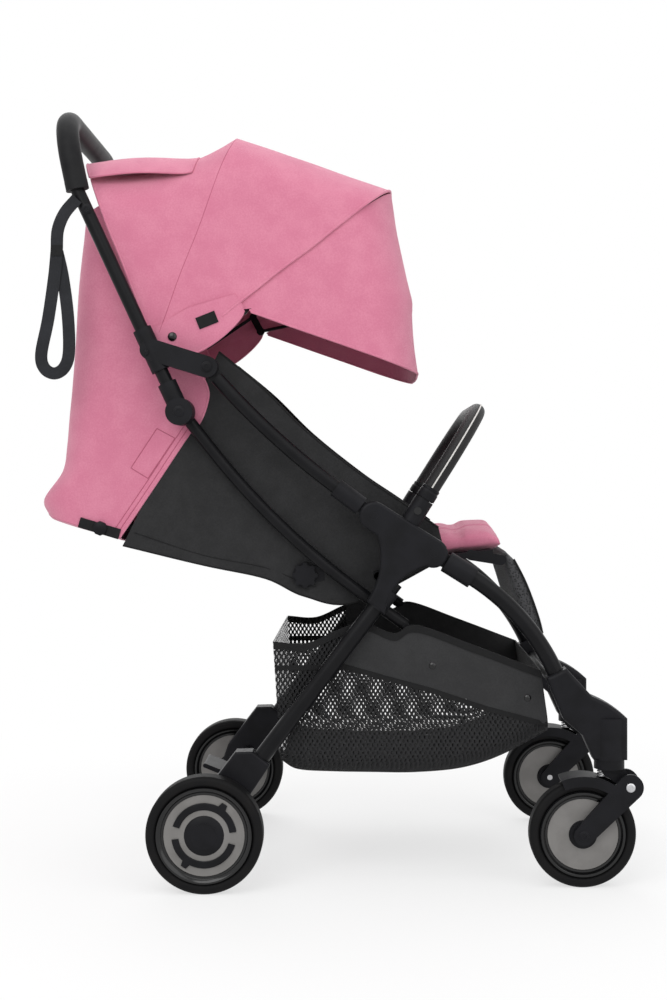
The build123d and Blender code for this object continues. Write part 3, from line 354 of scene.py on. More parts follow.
@dataclass(frozen=True)
class Moulded:
    """Moulded plastic, paint or rubber with a fine grain."""

    name: str
    colour: Colour
    shade: Colour
    roughness: float
    grain: float
    depth: float
    spread: float = 0.08
    specular: float = 0.1

    def material(self) -> bpy.types.Material:
        """Builds the moulded finish."""
        graph = Graph(self.name)
        grain = graph.cells(self.grain)
        wear = graph.speckle(30.0, 4.0)
        rough = wear * self.spread + grain * (self.spread * 0.5) + (self.roughness - self.spread * 0.75)
        return graph.surface(
            Base_Color=graph.tint(wear.ramp(0.35, 0.75), self.colour, self.shade),
            Roughness=rough,
            Normal=graph.bump(grain + graph.speckle(self.grain * 3) * 0.5, self.depth, 0.35),
            Specular_IOR_Level=self.specular,
        )


@dataclass(frozen=True)
class Hide:
    """Leather-like cover with pebbled grain and fine pores, with painted shade in their hollows."""

    name: str
    colour: Colour
    shade: Colour

    def material(self) -> bpy.types.Material:
        """Builds the cover's material."""
        graph = Graph(self.name)
        pebble = graph.cells(1.7).ramp(0.1, 0.7)
        pores = graph.speckle(0.7, 3.0)
        return graph.surface(
            # The low hollows of the pebbles and pores take the darker shade colour: painted shade.
            Base_Color=graph.tint(pebble * 0.6 + pores * 0.4, self.shade, self.colour),
            Roughness=pebble * 0.12 + pores * 0.1 + 0.42,
            Normal=graph.bump(pebble + pores * 0.4, 0.25, 0.5),
            Specular_IOR_Level=0.25,
        )


@dataclass(frozen=True)
class Steel:
    """Bright steel with fine drawn lines."""

    name: str
    colour: Colour
    roughness: float = 0.3

    def material(self) -> bpy.types.Material:
        """Builds the steel's material."""
        graph = Graph(self.name)
        x, _, z = graph.axes()
        lines = ((x + z) * 9.0 + graph.speckle(4.0) * 6.0).sine()
        return graph.surface(
            Base_Color=graph.tint(graph.speckle(12.0), self.colour, tuple(c * 0.8 for c in self.colour)),
            Roughness=lines * 0.05 + graph.speckle(6.0) * 0.1 + self.roughness,
            Normal=graph.bump(lines, 0.02, 0.3),
            Metallic=1.0,
        )


class Finish(Enum):
    """The stroller's finishes, each with one material."""

    # In the woven, knit and hide finishes the second colour is painted shade in the hollows of the texture;
    # the woven ones also mix it in at random as mottling.
    PINK = Woven("pink_cloth", srgb(213, 134, 157), srgb(200, 114, 141))
    PINK_SEAM = Woven("pink_seam", srgb(188, 99, 126), srgb(172, 84, 111), thread=0.8)
    BLACK = Woven("black_cloth", srgb(44, 44, 45), srgb(32, 32, 33), fuzz=0.04)
    BLACK_TAPE = Woven("black_tape", srgb(24, 24, 25), srgb(16, 16, 17), thread=0.9, fuzz=0.03)
    GREY = Woven("grey_cloth", srgb(52, 52, 53), srgb(42, 42, 43), fuzz=0.04)
    NET = Net("net", srgb(30, 30, 31))
    KNIT = Knit("knit", srgb(66, 66, 68), srgb(34, 34, 35), pitch=3.0)
    WEBBING = Woven("webbing", srgb(38, 39, 43), srgb(25, 26, 29), thread=2.0, fuzz=0.05)
    PAINT = Moulded("frame_paint", srgb(18, 18, 20), srgb(13, 13, 15), 0.34, 0.8, 0.04, specular=0.12)
    PLASTIC = Moulded("black_plastic", srgb(26, 26, 29), srgb(20, 20, 22), 0.44, 0.6, 0.06)
    GLOSS = Moulded("gloss_plastic", srgb(10, 10, 11), srgb(7, 7, 8), 0.16, 0.9, 0.01, 0.04, specular=0.4)
    TYRE = Moulded("tyre_foam", srgb(18, 18, 19), srgb(24, 23, 23), 0.62, 0.9, 0.12)
    FOAM = Moulded("grip_foam", srgb(30, 30, 31), srgb(22, 22, 24), 0.55, 1.0, 0.1)
    HIDE = Hide("guard_hide", srgb(28, 27, 28), srgb(14, 14, 15))
    DISC = Moulded("wheel_disc", srgb(121, 119, 117), srgb(110, 108, 106), 0.4, 0.9, 0.03, 0.06,
                   specular=0.3)
    STEEL = Steel("bright_steel", srgb(196, 196, 198))
    THREAD = Woven("pale_thread", srgb(226, 224, 220), srgb(205, 203, 199), thread=0.6)

    @cached_property
    def material(self) -> bpy.types.Material:
        """The finish's material, built at its first use."""
        return self.value.material()


def link(made: bpy.types.Object) -> bpy.types.Object:
    """Puts an object into the scene."""
    bpy.context.scene.collection.objects.link(made)
    return made


def add_mesh(name: str, points: Sequence[Point], faces: Sequence[Sequence[int]],
             *materials: bpy.types.Material) -> bpy.types.Object:
    """Makes a mesh object from points in millimetres.

    Args:
        name: Name of the piece.
        points: Corners in the row frame, in millimetres.
        faces: Corner numbers of each face.
        materials: Materials in slot order.

    Returns:
        The new object, smooth shaded.
    """
    mesh = bpy.data.meshes.new(name)
    mesh.from_pydata([Vector(p) * MM for p in points], [], faces)
    mesh.update()
    for material in materials:
        mesh.materials.append(material)
    mesh.shade_smooth()
    return link(bpy.data.objects.new(name, mesh))


def apply_all(piece: bpy.types.Object) -> None:
    """Applies a piece's modifiers to its mesh."""
    bpy.context.view_layer.update()
    evaluated = piece.evaluated_get(bpy.context.evaluated_depsgraph_get())
    mesh = bpy.data.meshes.new_from_object(evaluated)
    piece.modifiers.clear()
    piece.data = mesh


def thicken(piece: bpy.types.Object, thickness: float) -> None:
    """Gives a sheet its thickness in millimetres, half on each side."""
    solid = piece.modifiers.new("thickness", "SOLIDIFY")
    solid.thickness = thickness * MM
    solid.offset = 0.0
    apply_all(piece)


def crease(piece: bpy.types.Object, degrees: float = 32.0) -> None:
    """Keeps edges sharper than an angle crisp."""
    piece.data.set_sharp_from_angle(angle=math.radians(degrees))


def quads(rows: Sequence[Row], closed: bool = False) -> list[tuple[int, int, int, int]]:
    """Faces of a grid of rows.

    Args:
        rows: Rows of equal length.
        closed: Whether the last row joins the first.

    Returns:
        Corner numbers of each quad.
    """
    width = len(rows[0])
    count = len(rows) if closed else len(rows) - 1
    faces = []
    for i in range(count):
        here = i * width
        after = (i + 1) % len(rows) * width
        faces += [(here + j, here + j + 1, after + j + 1, after + j) for j in range(width - 1)]
    return faces


def add_grid(name: str, rows: Sequence[Row], *finishes: Finish, closed: bool = False,
             more: Sequence[Sequence[int]] = ()) -> bpy.types.Object:
    """Makes a mesh object from rows of points in millimetres.

    Args:
        name: Name of the piece.
        rows: Rows of equal length.
        finishes: Finishes in slot order.
        closed: Whether the last row joins the first.
        more: Further faces, such as end caps.

    Returns:
        The new object, smooth shaded.
    """
    points = [p for row in rows for p in row]
    faces = quads(rows, closed) + list(more)
    return add_mesh(name, points, faces, *(finish.material for finish in finishes))


def end_caps(rows: Sequence[Row], spare: int = 0) -> list[tuple[int, ...]]:
    """Faces that close the first and the last row, without the spare points at a row's end."""
    width = len(rows[0])
    return [tuple(range(start, start + width - spare)) for start in (0, (len(rows) - 1) * width)]


def face_outwards(piece: bpy.types.Object, weld: bool = False) -> None:
    """Turns the faces of a closed piece outwards.

    Args:
        piece: The piece to mend.
        weld: Whether its doubled points are joined first.
    """
    mesh = bmesh.new()
    mesh.from_mesh(piece.data)
    if weld:
        bmesh.ops.remove_doubles(mesh, verts=mesh.verts, dist=WELD)
        bmesh.ops.dissolve_degenerate(mesh, edges=mesh.edges, dist=WELD)
    bmesh.ops.recalc_face_normals(mesh, faces=mesh.faces)
    mesh.to_mesh(piece.data)
    mesh.free()


@dataclass(frozen=True)
class Bend:
    """Two bodies and the line of their joint that a piece of cloth spans."""

    first: str
    second: str
    start: Point
    end: Point

    def on(self, piece: bpy.types.Object, slot: str) -> None:
        """Bakes the piece's placement into its mesh."""
        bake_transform(piece)

    def sew(self, name: str, line: Sequence[Point], radius: float) -> None:
        """Sews a fine dark seam, or a hem in the cloth's own colour where it is thicker."""
        finish = Finish.PINK_SEAM if radius < 1 else Finish.PINK
        self.on(tube_through(name, line, radius, finish), "pink_cloth")


@dataclass
class Sheet:
    """A sewn sheet of cloth, built from rows of points in millimetres."""

    name: str
    rows: Sequence[Row]
    finish: Finish
    body: str
    held: Held = Held.STRETCHED
    rests_on: tuple[str, ...] = ()
    thickness: float = 1.6
    zone: Optional[Callable[[Point], int]] = None
    zone_finishes: tuple[Finish, ...] = ()
    bend: Optional[Bend] = None

    def build(self) -> bpy.types.Object:
        """Makes the sheet and lets it ride on its body, or only bakes its placement where it is given a
        bend.

        Returns:
            The finished piece.
        """
        piece = add_grid(self.name, self.rows, self.finish, *self.zone_finishes)
        if self.zone is not None:
            for polygon in piece.data.polygons:
                polygon.material_index = self.zone(tuple(polygon.center / MM))
        thicken(piece, self.thickness)
        crease(piece)
        if self.bend is None:
            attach(piece, self.body)
        else:
            self.bend.on(piece, "pink_cloth")
        return piece


def tube_through(name: str, points: Sequence[Point], radius: float, finish: Finish) -> bpy.types.Object:
    """Round bead, piping or wire through points.

    Args:
        name: Name of the piece.
        points: Points on its line, in millimetres.
        radius: Its radius in millimetres.
        finish: Its finish.

    Returns:
        The bead as a mesh object.
    """
    curve = bpy.data.curves.new(name, "CURVE")
    curve.dimensions = "3D"
    curve.bevel_depth = radius * MM
    curve.bevel_resolution = BEAD_FINENESS
    curve.use_fill_caps = True
    spline = curve.splines.new("POLY")
    spline.points.add(len(points) - 1)
    for spot, point in zip(spline.points, points):
        spot.co = (*(Vector(point) * MM), 1.0)
    holder = link(bpy.data.objects.new(name + "_line", curve))
    bpy.context.view_layer.update()
    mesh = bpy.data.meshes.new_from_object(holder.evaluated_get(bpy.context.evaluated_depsgraph_get()))
    bpy.data.objects.remove(holder)
    bpy.data.curves.remove(curve)
    mesh.materials.clear()
    mesh.materials.append(finish.material)
    mesh.shade_smooth()
    return link(bpy.data.objects.new(name, mesh))


def turned(name: str, centre: Point, profile: Sequence[Flat], finish: Finish,
           axis: Point = (0.0, 1.0, 0.0), segments: int = 40) -> bpy.types.Object:
    """Turns a profile about an axis.

    Args:
        name: Name of the piece.
        centre: Foot of the axis, in millimetres.
        profile: Radius and height along the axis, from the axis to the rim and back.
        finish: Its finish.
        axis: Direction of the axis.
        segments: Steps round the axis.

    Returns:
        The turned piece.
    """
    along = Vector(axis).normalized()
    first = along.orthogonal().normalized()
    second = along.cross(first)
    rows = []
    for i in range(segments):
        turn = 2 * math.pi * i / segments
        out = first * math.cos(turn) + second * math.sin(turn)
        rows.append([tuple(Vector(centre) + out * radius + along * height) for radius, height in profile])
    piece = add_grid(name, rows, finish, closed=True)
    face_outwards(piece, weld=True)
    crease(piece)
    return piece


def ribbon(name: str, line: Sequence[Point], across: Sequence[Point], width: float, thickness: float,
           finish: Finish) -> bpy.types.Object:
    """Flat webbing along a line.

    Args:
        name: Name of the piece.
        line: Points of its middle, in millimetres.
        across: Direction of its width at each point.
        width: Its width in millimetres.
        thickness: Its thickness in millimetres.
        finish: Its finish.

    Returns:
        The webbing.
    """
    rows = []
    for point, way in zip(line, across):
        half = Vector(way).normalized() * (width / 2)
        rows.append([tuple(Vector(point) + half * share) for share in (-1.0, -0.9, 0.0, 0.9, 1.0)])
    piece = add_grid(name, rows, finish)
    thicken(piece, thickness)
    crease(piece)
    return piece


def smooth_line(points: Sequence[Spot], steps: int = 8) -> list[Spot]:
    """Runs a smooth curve through points.

    Args:
        points: Points that the curve passes through, flat or in space.
        steps: Steps between two points.

    Returns:
        Points along the curve.
    """
    ends = [tuple(2 * a - b for a, b in zip(points[0], points[1])), *points,
            tuple(2 * a - b for a, b in zip(points[-1], points[-2]))]
    line = []
    for p0, p1, p2, p3 in zip(ends, ends[1:], ends[2:], ends[3:]):
        for i in range(steps):
            t = i / steps
            line.append(tuple(
                0.5 * (2 * b + (c - a) * t + (2 * a - 5 * b + 4 * c - d) * t * t
                       + (3 * b - a - 3 * c + d) * t ** 3)
                for a, b, c, d in zip(p0, p1, p2, p3)
            ))
    return line + [tuple(points[-1])]


def ripple(point: Point, size: float, depth: float) -> float:
    """Steady uneven height for soft wrinkles, in millimetres."""
    return depth * noise.noise(Vector(point) / size)


def trough(half_width: float, span: Flat, corner: float, steps: tuple[int, int],
           bow: float = 0.0) -> list[Flat]:
    """Outline of two upright sides and a flat between them, with rounded corners.

    Args:
        half_width: Distance of the sides from the middle.
        span: Where the sides start and where the flat lies.
        corner: Radius of the corners.
        steps: Steps along a side and round a corner.
        bow: How far the sides are drawn in half-way.

    Returns:
        Offset from the middle and place along the span, from one side's start to the other's.
    """
    start, end = span
    straight, curved = steps
    half = [(half_width - bow * math.sin(math.pi * t), start + (end - corner - start) * t)
            for t in (i / straight for i in range(straight))]
    half += [(half_width - corner + corner * math.cos(a), end - corner + corner * math.sin(a))
             for a in (math.pi / 2 * i / curved for i in range(curved))]
    half += [((half_width - corner) * (1 - i / FLAT_STEPS), end) for i in range(FLAT_STEPS + 1)]
    return half + [(-y, along) for y, along in reversed(half[:-1])]


@dataclass
class Arch:
    """Cross-section of a fabric hood, from one foot over the roof to the other."""

    SIDE_STEPS: ClassVar[int] = 10
    CORNER_STEPS: ClassVar[int] = 10

    half_width: float
    corner: float = 60.0
    crown: float = 6.0

    def row(self, hub: Flat, heading: float, reach: float, foot: float, pinch: float = 0.0) -> Row:
        """Points of the section in the plane through a hub.

        Args:
            hub: Place of the hub in the side view.
            heading: Direction of the plane, in degrees.
            reach: Distance from the hub to the roof.
            foot: Distance from the hub where the sides end.
            pinch: How far the sides are drawn in.

        Returns:
            The section's points.
        """
        width = self.half_width - pinch
        outline = trough(width, (foot, reach), self.corner, (self.SIDE_STEPS, self.CORNER_STEPS))
        way = math.radians(heading)
        points = []
        for y, r in outline:
            rise = self.crown * max(0.0, 1 - (y / width) ** 2) * max(0.0, (r - foot) / (reach - foot)) ** 4
            points.append((hub[0] + (r + rise) * math.cos(way), y, hub[1] + (r + rise) * math.sin(way)))
        return points


def polar(heading: float, reach: float) -> Flat:
    """Side-view offset of a heading in degrees and a reach."""
    return reach * math.cos(math.radians(heading)), reach * math.sin(math.radians(heading))


def panel(start: Flat, end: Flat, swell: float, steps: int) -> list[Flat]:
    """Headings and reaches from one bow to the next.

    Args:
        start: First bow's heading and reach.
        end: Last bow's heading and reach.
        swell: How far the cloth stands out between them.
        steps: Number of steps.

    Returns:
        Heading and reach at each step.
    """
    a, b = Vector(polar(*start)), Vector(polar(*end))
    out = Vector((-(b - a).y, (b - a).x)).normalized()
    if out.dot(a) < 0:
        out = -out
    made = []
    for i in range(steps + 1):
        t = i / steps
        spot = a.lerp(b, t) + out * (swell * 4 * t * (1 - t))
        made.append((math.degrees(math.atan2(spot.y, spot.x)), spot.length))
    return made


@dataclass
class Canopy:
    """Hood over the seat: a sheet over its bows, side lobes, a rear flap and seams."""

    hub: Flat = (-238.0, 713.0)
    rear: Flat = (111.3, 249.0)
    mid: Flat = (69.5, 301.0)
    front: Flat = (34.2, 376.0)
    edge_foot: Flat = (-148.0, 752.0)
    swell: float = 1.0
    sag: float = -17.0
    pinch: float = 3.0
    rear_steps: int = 10
    front_steps: int = 16
    foot: float = 18.0
    half_width: float = 179.5
    body: str = "hood_carrier"
    rear_bend: Bend = Bend("hood_carrier", "canopy_mid", (-285.0, 0.0, 860.0), (-195.0, 0.0, 860.0))
    front_bend: Bend = Bend("canopy_mid", "canopy_front", (-268.0, 0.0, 736.4), (-208.0, 0.0, 689.6))
    lobe_bend: Bend = Bend("hood_carrier", "canopy_mid", (-225.0, 0.0, 720.0), (-165.0, 0.0, 740.0))
    lobe: tuple[Flat, ...] = (
        (-247.0, 731.0), (-244.0, 708.0), (-224.0, 695.0), (-204.0, 695.0), (-171.0, 708.0), (-138.0, 733.0),
        (-119.0, 759.0), (-131.0, 781.0))

    def build(self) -> None:
        """Makes the canopy and its trim."""
        arch = Arch(self.half_width)
        path = panel(self.rear, self.mid, self.sag, self.rear_steps)
        path += panel(self.mid, self.front, self.swell, self.front_steps)[1:]
        rows = []
        for i, (heading, reach) in enumerate(path):
            ahead = max(0, i - self.rear_steps) / self.front_steps
            share = ahead if ahead else i / self.rear_steps
            row = arch.row(self.hub, heading, reach, self.foot, self.pinch * math.sin(math.pi * share))
            rows.append(self.drawn_down(row, ahead))
        rows = [[(x + ripple((x, y, z), 60.0, 1.2), y, z + ripple((z, x, y), 70.0, 1.5)) for x, y, z in row]
                for row in rows]
        for name, part, bend in (("canopy_rear", rows[:self.rear_steps + 1], self.rear_bend),
                                 ("canopy", rows[self.rear_steps:], self.front_bend)):
            hood = Sheet(name, part, Finish.PINK, self.body, rests_on=("canopy_bow_mid", "canopy_bow_front"),
                         bend=bend).build()
            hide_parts("canopy_cloth")
        self.trim(rows)
        self.lobes()
        self.flap(arch)

    def drawn_down(self, row: Row, share: float) -> Row:
        """Draws the sides of a row towards the straight front edge over the visor's pivot.

        Args:
            row: Section of the hood.
            share: How near the row is to the front edge.

        Returns:
            The section with its feet moved.
        """
        crest = row[Arch.SIDE_STEPS + Arch.CORNER_STEPS]
        foot = row[0]
        forward, up = self.edge_foot[0] - foot[0], self.edge_foot[1] - foot[2]
        moved = []
        for x, y, z in row:
            low = max(0.0, min(1.0, (crest[2] - z) / (crest[2] - foot[2])))
            pull = share ** 1.5 * low
            moved.append((x + forward * pull, y, z + up * pull))
        return moved

    def trim(self, rows: Sequence[Row]) -> None:
        """Sews the seams over the bows and binds the front edge."""
        self.rear_bend.sew("canopy_seam_mid", rows[self.rear_steps], 0.9)
        self.front_bend.sew("canopy_seam_front", rows[-3], 0.6)
        self.front_bend.sew("canopy_front_hem", rows[-1], 1.9)
        self.rear_bend.sew("canopy_rear_hem", rows[0], 1.6)

    def lobes(self) -> None:
        """Adds the rounded side pieces round the hub, with their snaps and one patch."""
        for word, side in SIDES:
            edge = smooth_line([(x, side * self.half_width, z) for x, z in self.lobe], 4)
            centre = (-194.0, side * self.half_width, 762.0)
            inner = [tuple(Vector(p).lerp(Vector(centre), 0.5)) for p in edge]
            Sheet(f"canopy_lobe_{word}", [edge, inner, [centre] * len(edge)], Finish.PINK, self.body,
                  rests_on=(f"hood_bracket_{word}",), bend=self.lobe_bend).build()
            self.lobe_bend.sew(f"canopy_lobe_hem_{word}", edge[:-4], 1.5)
            snap = turned(f"canopy_snap_{word}", (-214.0, side * (self.half_width + 0.6), 724.0),
                          [(0.0, 3.2), (3.6, 2.8), (5.6, 1.6), (6.2, 0.0), (0.0, 0.0)], Finish.GLOSS,
                          axis=(0.0, side, 0.0))
            settle(snap, self.body)
        line = [(x, -self.half_width - 1.6, z) for x, z in between((-180.5, 741.0), (-155.5, 751.0), 2)]
        patch = ribbon("canopy_patch", line, [(-0.37, 0.0, 0.93)] * 3, 16.0, 0.8, Finish.BLACK_TAPE)
        self.lobe_bend.on(patch, "black_cloth")

    def flap(self, arch: Arch) -> None:
        """Lays the short roof flap behind the middle bow; it stands up at its rear edge."""
        rows = []
        for heading, reach in panel(self.rear, self.mid, self.sag, 14)[:11]:
            t = len(rows) / 10
            lift = 1.2 + 9.0 * (1 - t) + 16.0 * math.sin(math.pi * min(1.0, 0.15 + 0.85 * t)) ** 1.2
            rows.append(arch.row(self.hub, heading, reach + lift, self.foot)[14:-14])
        Sheet("canopy_rear_flap", rows, Finish.PINK, self.body, rests_on=("canopy_rear",),
              bend=self.rear_bend).build()
        sides = [[row[0] for row in rows], [row[-1] for row in rows]]
        for name, line in (("flap_hem_rear", rows[0]), ("flap_hem_front", rows[-1]),
                           ("flap_hem_left", sides[0]), ("flap_hem_right", sides[1])):
            self.rear_bend.sew(name, line, 1.6)


@dataclass
class Visor:
    """Folding peak on the hood's front bow."""

    pivot: Flat = (-121.0, 761.0)
    head: Flat = (36.5, 279.0)
    head_foot: Flat = (-150.0, 756.0)
    fold: Flat = (5.0, 224.0)
    hem: Flat = (-19.3, 245.0)
    half_width: float = 176.7
    foot: float = 11.0
    body: str = "visor"
    bend: Bend = Bend("canopy_front", "visor", (-138.0, 0.0, 803.0), (-106.0, 0.0, 724.0))

    def build(self) -> None:
        """Makes the peak with its crease and hem."""
        arch = Arch(self.half_width, crown=4.0)
        ends = [arch.row(self.head_foot, *self.head, 0.0)]
        ends += [arch.row(self.pivot, *edge, self.foot) for edge in (self.fold, self.hem)]
        rows = []
        for upper, lower in zip(ends, ends[1:]):
            for i in range(1 if rows else 0, 11):
                t = i / 10
                dip = 2.5 * math.sin(math.pi * t)
                blend = [Vector(a).lerp(Vector(b), t) for a, b in zip(upper, lower)]
                rows.append([(p.x - dip + ripple(tuple(p), 50.0, 1.0), p.y, p.z) for p in blend])
        lip = [(x + 2.5, y, z - 1.5) for x, y, z in rows[10]]
        rows[11] = [tuple(Vector(a).lerp(Vector(b), 0.35)) for a, b in zip(rows[11], lip)]
        peak = Sheet("visor", rows, Finish.PINK, self.body, rests_on=("visor_bow",), bend=self.bend).build()
        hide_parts("visor_cloth")
        for name, index, radius in (("visor_fold_seam", 10, 0.7), ("visor_hem", 20, 1.7)):
            self.bend.sew(name, rows[index], radius)


def on_sheet(rows: Sequence[Row], spot: Flat, side: float, lift: float) -> Point:
    """Finds the place on a sheet's side wall under a point of the side view.

    Args:
        rows: Rows of the sheet.
        spot: Place in the side view.
        side: Which wall, 1 for left and -1 for right.
        lift: How far to stand off the wall.

    Returns:
        The place in millimetres.
    """
    wall = (p for row in rows for p in row if p[1] * side > 0)
    near = min(wall, key=lambda p: (p[0] - spot[0]) ** 2 + (p[2] - spot[1]) ** 2)
    return spot[0], near[1] + side * lift, spot[1]


def between(first: Flat, last: Flat, count: int) -> list[Flat]:
    """Evenly spaced places from one to another."""
    return [tuple(a + (b - a) * i / count for a, b in zip(first, last)) for i in range(count + 1)]


def settle(piece: bpy.types.Object, body: str) -> bpy.types.Object:
    """Lets a piece ride on a body."""
    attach(piece, body)
    return piece


@dataclass(frozen=True)
class Crumple:
    """Axis, anchor and share for the chassis cloth's flattening as the frame folds; not applied to the mesh.
    """

    axis: Point
    anchor: Point
    keep: float
    joint: str = "side_tube_fold"

    def on(self, piece: bpy.types.Object) -> None:
        """Gives the piece its own copy of its mesh."""
        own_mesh(piece)


@dataclass
class ChassisCloth:
    """Cloth fixed to the chassis; its flattening as the frame folds is not applied."""

    crumple: Crumple
    body: str = "chassis"

    def hold(self, piece: bpy.types.Object, slot: str) -> None:
        """Fixes a piece to the chassis and gives it its own mesh."""
        self.crumple.on(settle(piece, self.body))


@dataclass
class BackCloth(ChassisCloth):
    """Soft shell behind the backrest, with its base, seams, tab and buckles."""

    front: tuple[Flat, ...] = (
        (-284.0, 916.0), (-232.0, 795.0), (-190.0, 700.0), (-171.0, 660.0), (-170.0, 640.0), (-180.0, 612.0),
        (-194.0, 597.0), (-242.0, 525.0), (-288.0, 457.0))
    spine: tuple[Flat, ...] = (
        (-338.0, 890.0), (-349.0, 800.0), (-352.0, 720.0), (-356.0, 660.0), (-360.0, 620.0), (-364.0, 580.0),
        (-371.0, 545.0), (-396.0, 508.0), (-390.0, 486.0))
    half_width: float = 153.0
    corner: float = 45.0
    puff: float = 6.0
    patch: tuple[Flat, ...] = ((-238.0, 603.0), (-214.0, 590.0), (-250.0, 536.0), (-273.0, 550.0))
    crumple: Crumple = Crumple((0.0, 0.0, 1.0), (-330.0, 0.0, 455.0), 0.36)

    def level(self, front: Flat, spine: Flat, drop: float) -> Row:
        """One level of the shell.

        Args:
            front: Its front edge in the side view.
            spine: Its back in the side view.
            drop: Share of the way down the shell.

        Returns:
            Points round the shell from one front edge to the other.
        """
        reach = math.dist(front, spine)
        corner = min(self.corner, 0.6 * reach)
        points = []
        for y, along in trough(self.half_width, (0.0, reach), corner, (12, 8)):
            share = along / reach
            x = front[0] + (spine[0] - front[0]) * share
            z = front[1] + (spine[1] - front[1]) * share
            swell = self.puff * math.sin(math.pi * min(1.0, 1.2 * drop)) * share
            bulge = swell * (1 - (y / self.half_width) ** 2) * share ** 3
            fold = ripple((x, y, z * 0.6), 55.0, 3.2) * min(1.0, 4 * share)
            wall = y * (1 + (0.35 * swell + 0.4 * fold * share) / self.half_width)
            points.append((x - bulge - 0.6 * fold * share ** 3, wall, z))
        return points

    def build(self) -> None:
        """Makes the shell and its trim."""
        levels = list(zip(smooth_line(self.front, 6), smooth_line(self.spine, 6)))
        rows = [self.level(front, spine, i / (len(levels) - 1)) for i, (front, spine) in enumerate(levels)]
        shell = Sheet("back_shell", rows, Finish.PINK, self.body, held=Held.HUNG,
                      rests_on=("backrest_board",)).build()
        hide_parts("back_cloth")
        self.hold(shell, "pink_cloth")
        self.base(rows[-1])
        self.seams(rows)
        self.fittings(rows)

    def base(self, rim: Row) -> None:
        """Closes the shell's foot with a sagging base."""
        half = len(rim) // 2
        rows = []
        for first, last in zip(rim[:half], reversed(rim[half + 1:])):
            row = []
            for i in range(13):
                t = i / 12
                spot = Vector(first).lerp(Vector(last), t)
                row.append((spot.x, spot.y, spot.z - 9.0 * math.sin(math.pi * t) ** 0.5))
            rows.append(row)
        sheet = Sheet("back_shell_base", rows, Finish.PINK, self.body, held=Held.HUNG,
                      rests_on=("back_shell",))
        self.hold(sheet.build(), "pink_cloth")

    def seams(self, rows: Sequence[Row]) -> None:
        """Sews the hem lines and the stitched patches on both sides."""
        hem = tube_through("back_shell_top_hem", rows[0], 1.8, Finish.PINK)
        self.hold(hem, "pink_cloth")
        for word, side in SIDES:
            edge = [row[0] if side > 0 else row[-1] for row in rows]
            lines = {f"back_shell_edge_{word}": (edge, 1.7, Finish.PINK)}
            for number, inset in enumerate((6.0, 13.0)):
                line = [on_sheet(rows, (p[0] - inset * 0.8, p[2] + inset * 0.4), side, 0.9)
                        for p in edge[32:]]
                lines[f"back_shell_stitch_{number}_{word}"] = (line, 0.55, Finish.PINK_SEAM)
            outline = []
            for first, last in zip(self.patch, self.patch[1:] + self.patch[:1]):
                outline += [on_sheet(rows, spot, side, 0.9) for spot in between(first, last, 8)[:-1]]
            lines[f"back_shell_patch_{word}"] = (outline + outline[:1], 0.6, Finish.PINK_SEAM)
            for name, (line, radius, finish) in lines.items():
                self.hold(tube_through(name, line, radius, finish), "pink_cloth")

    def fittings(self, rows: Sequence[Row]) -> None:
        """Adds the pull tab on the back and the side-release buckles at the foot."""
        tab = ribbon("back_pull_tab", [(-359.5, 0.0, 640.0), (-366.0, 0.0, 622.0), (-362.5, 0.0, 604.0)],
                     [(0.0, 1.0, 0.0)] * 3, 22.0, 2.0, Finish.BLACK_TAPE)
        self.hold(tab, "black_cloth")
        for word, side in SIDES:
            spot = on_sheet(rows, (-318.0, 470.0), side, 1.5)
            line = [(spot[0] + 30.0 * t, spot[1], spot[2] - 9.0 * t) for t in (-0.8, 0.0, 1.0)]
            strap = ribbon(f"buckle_strap_{word}", line, [(0.3, 0.0, 1.0)] * 3, 14.0, 1.8, Finish.BLACK_TAPE)
            self.hold(strap, "black_cloth")
            clip = turned(f"buckle_{word}", (spot[0] + 4.0, spot[1] + side * 0.8, spot[2] - 1.0),
                          [(0.0, 4.5), (6.5, 4.2), (9.5, 2.6), (10.0, 0.0), (0.0, 0.0)], Finish.PLASTIC,
                          axis=(0.0, side, 0.0), segments=8)
            self.hold(clip, "black_plastic")


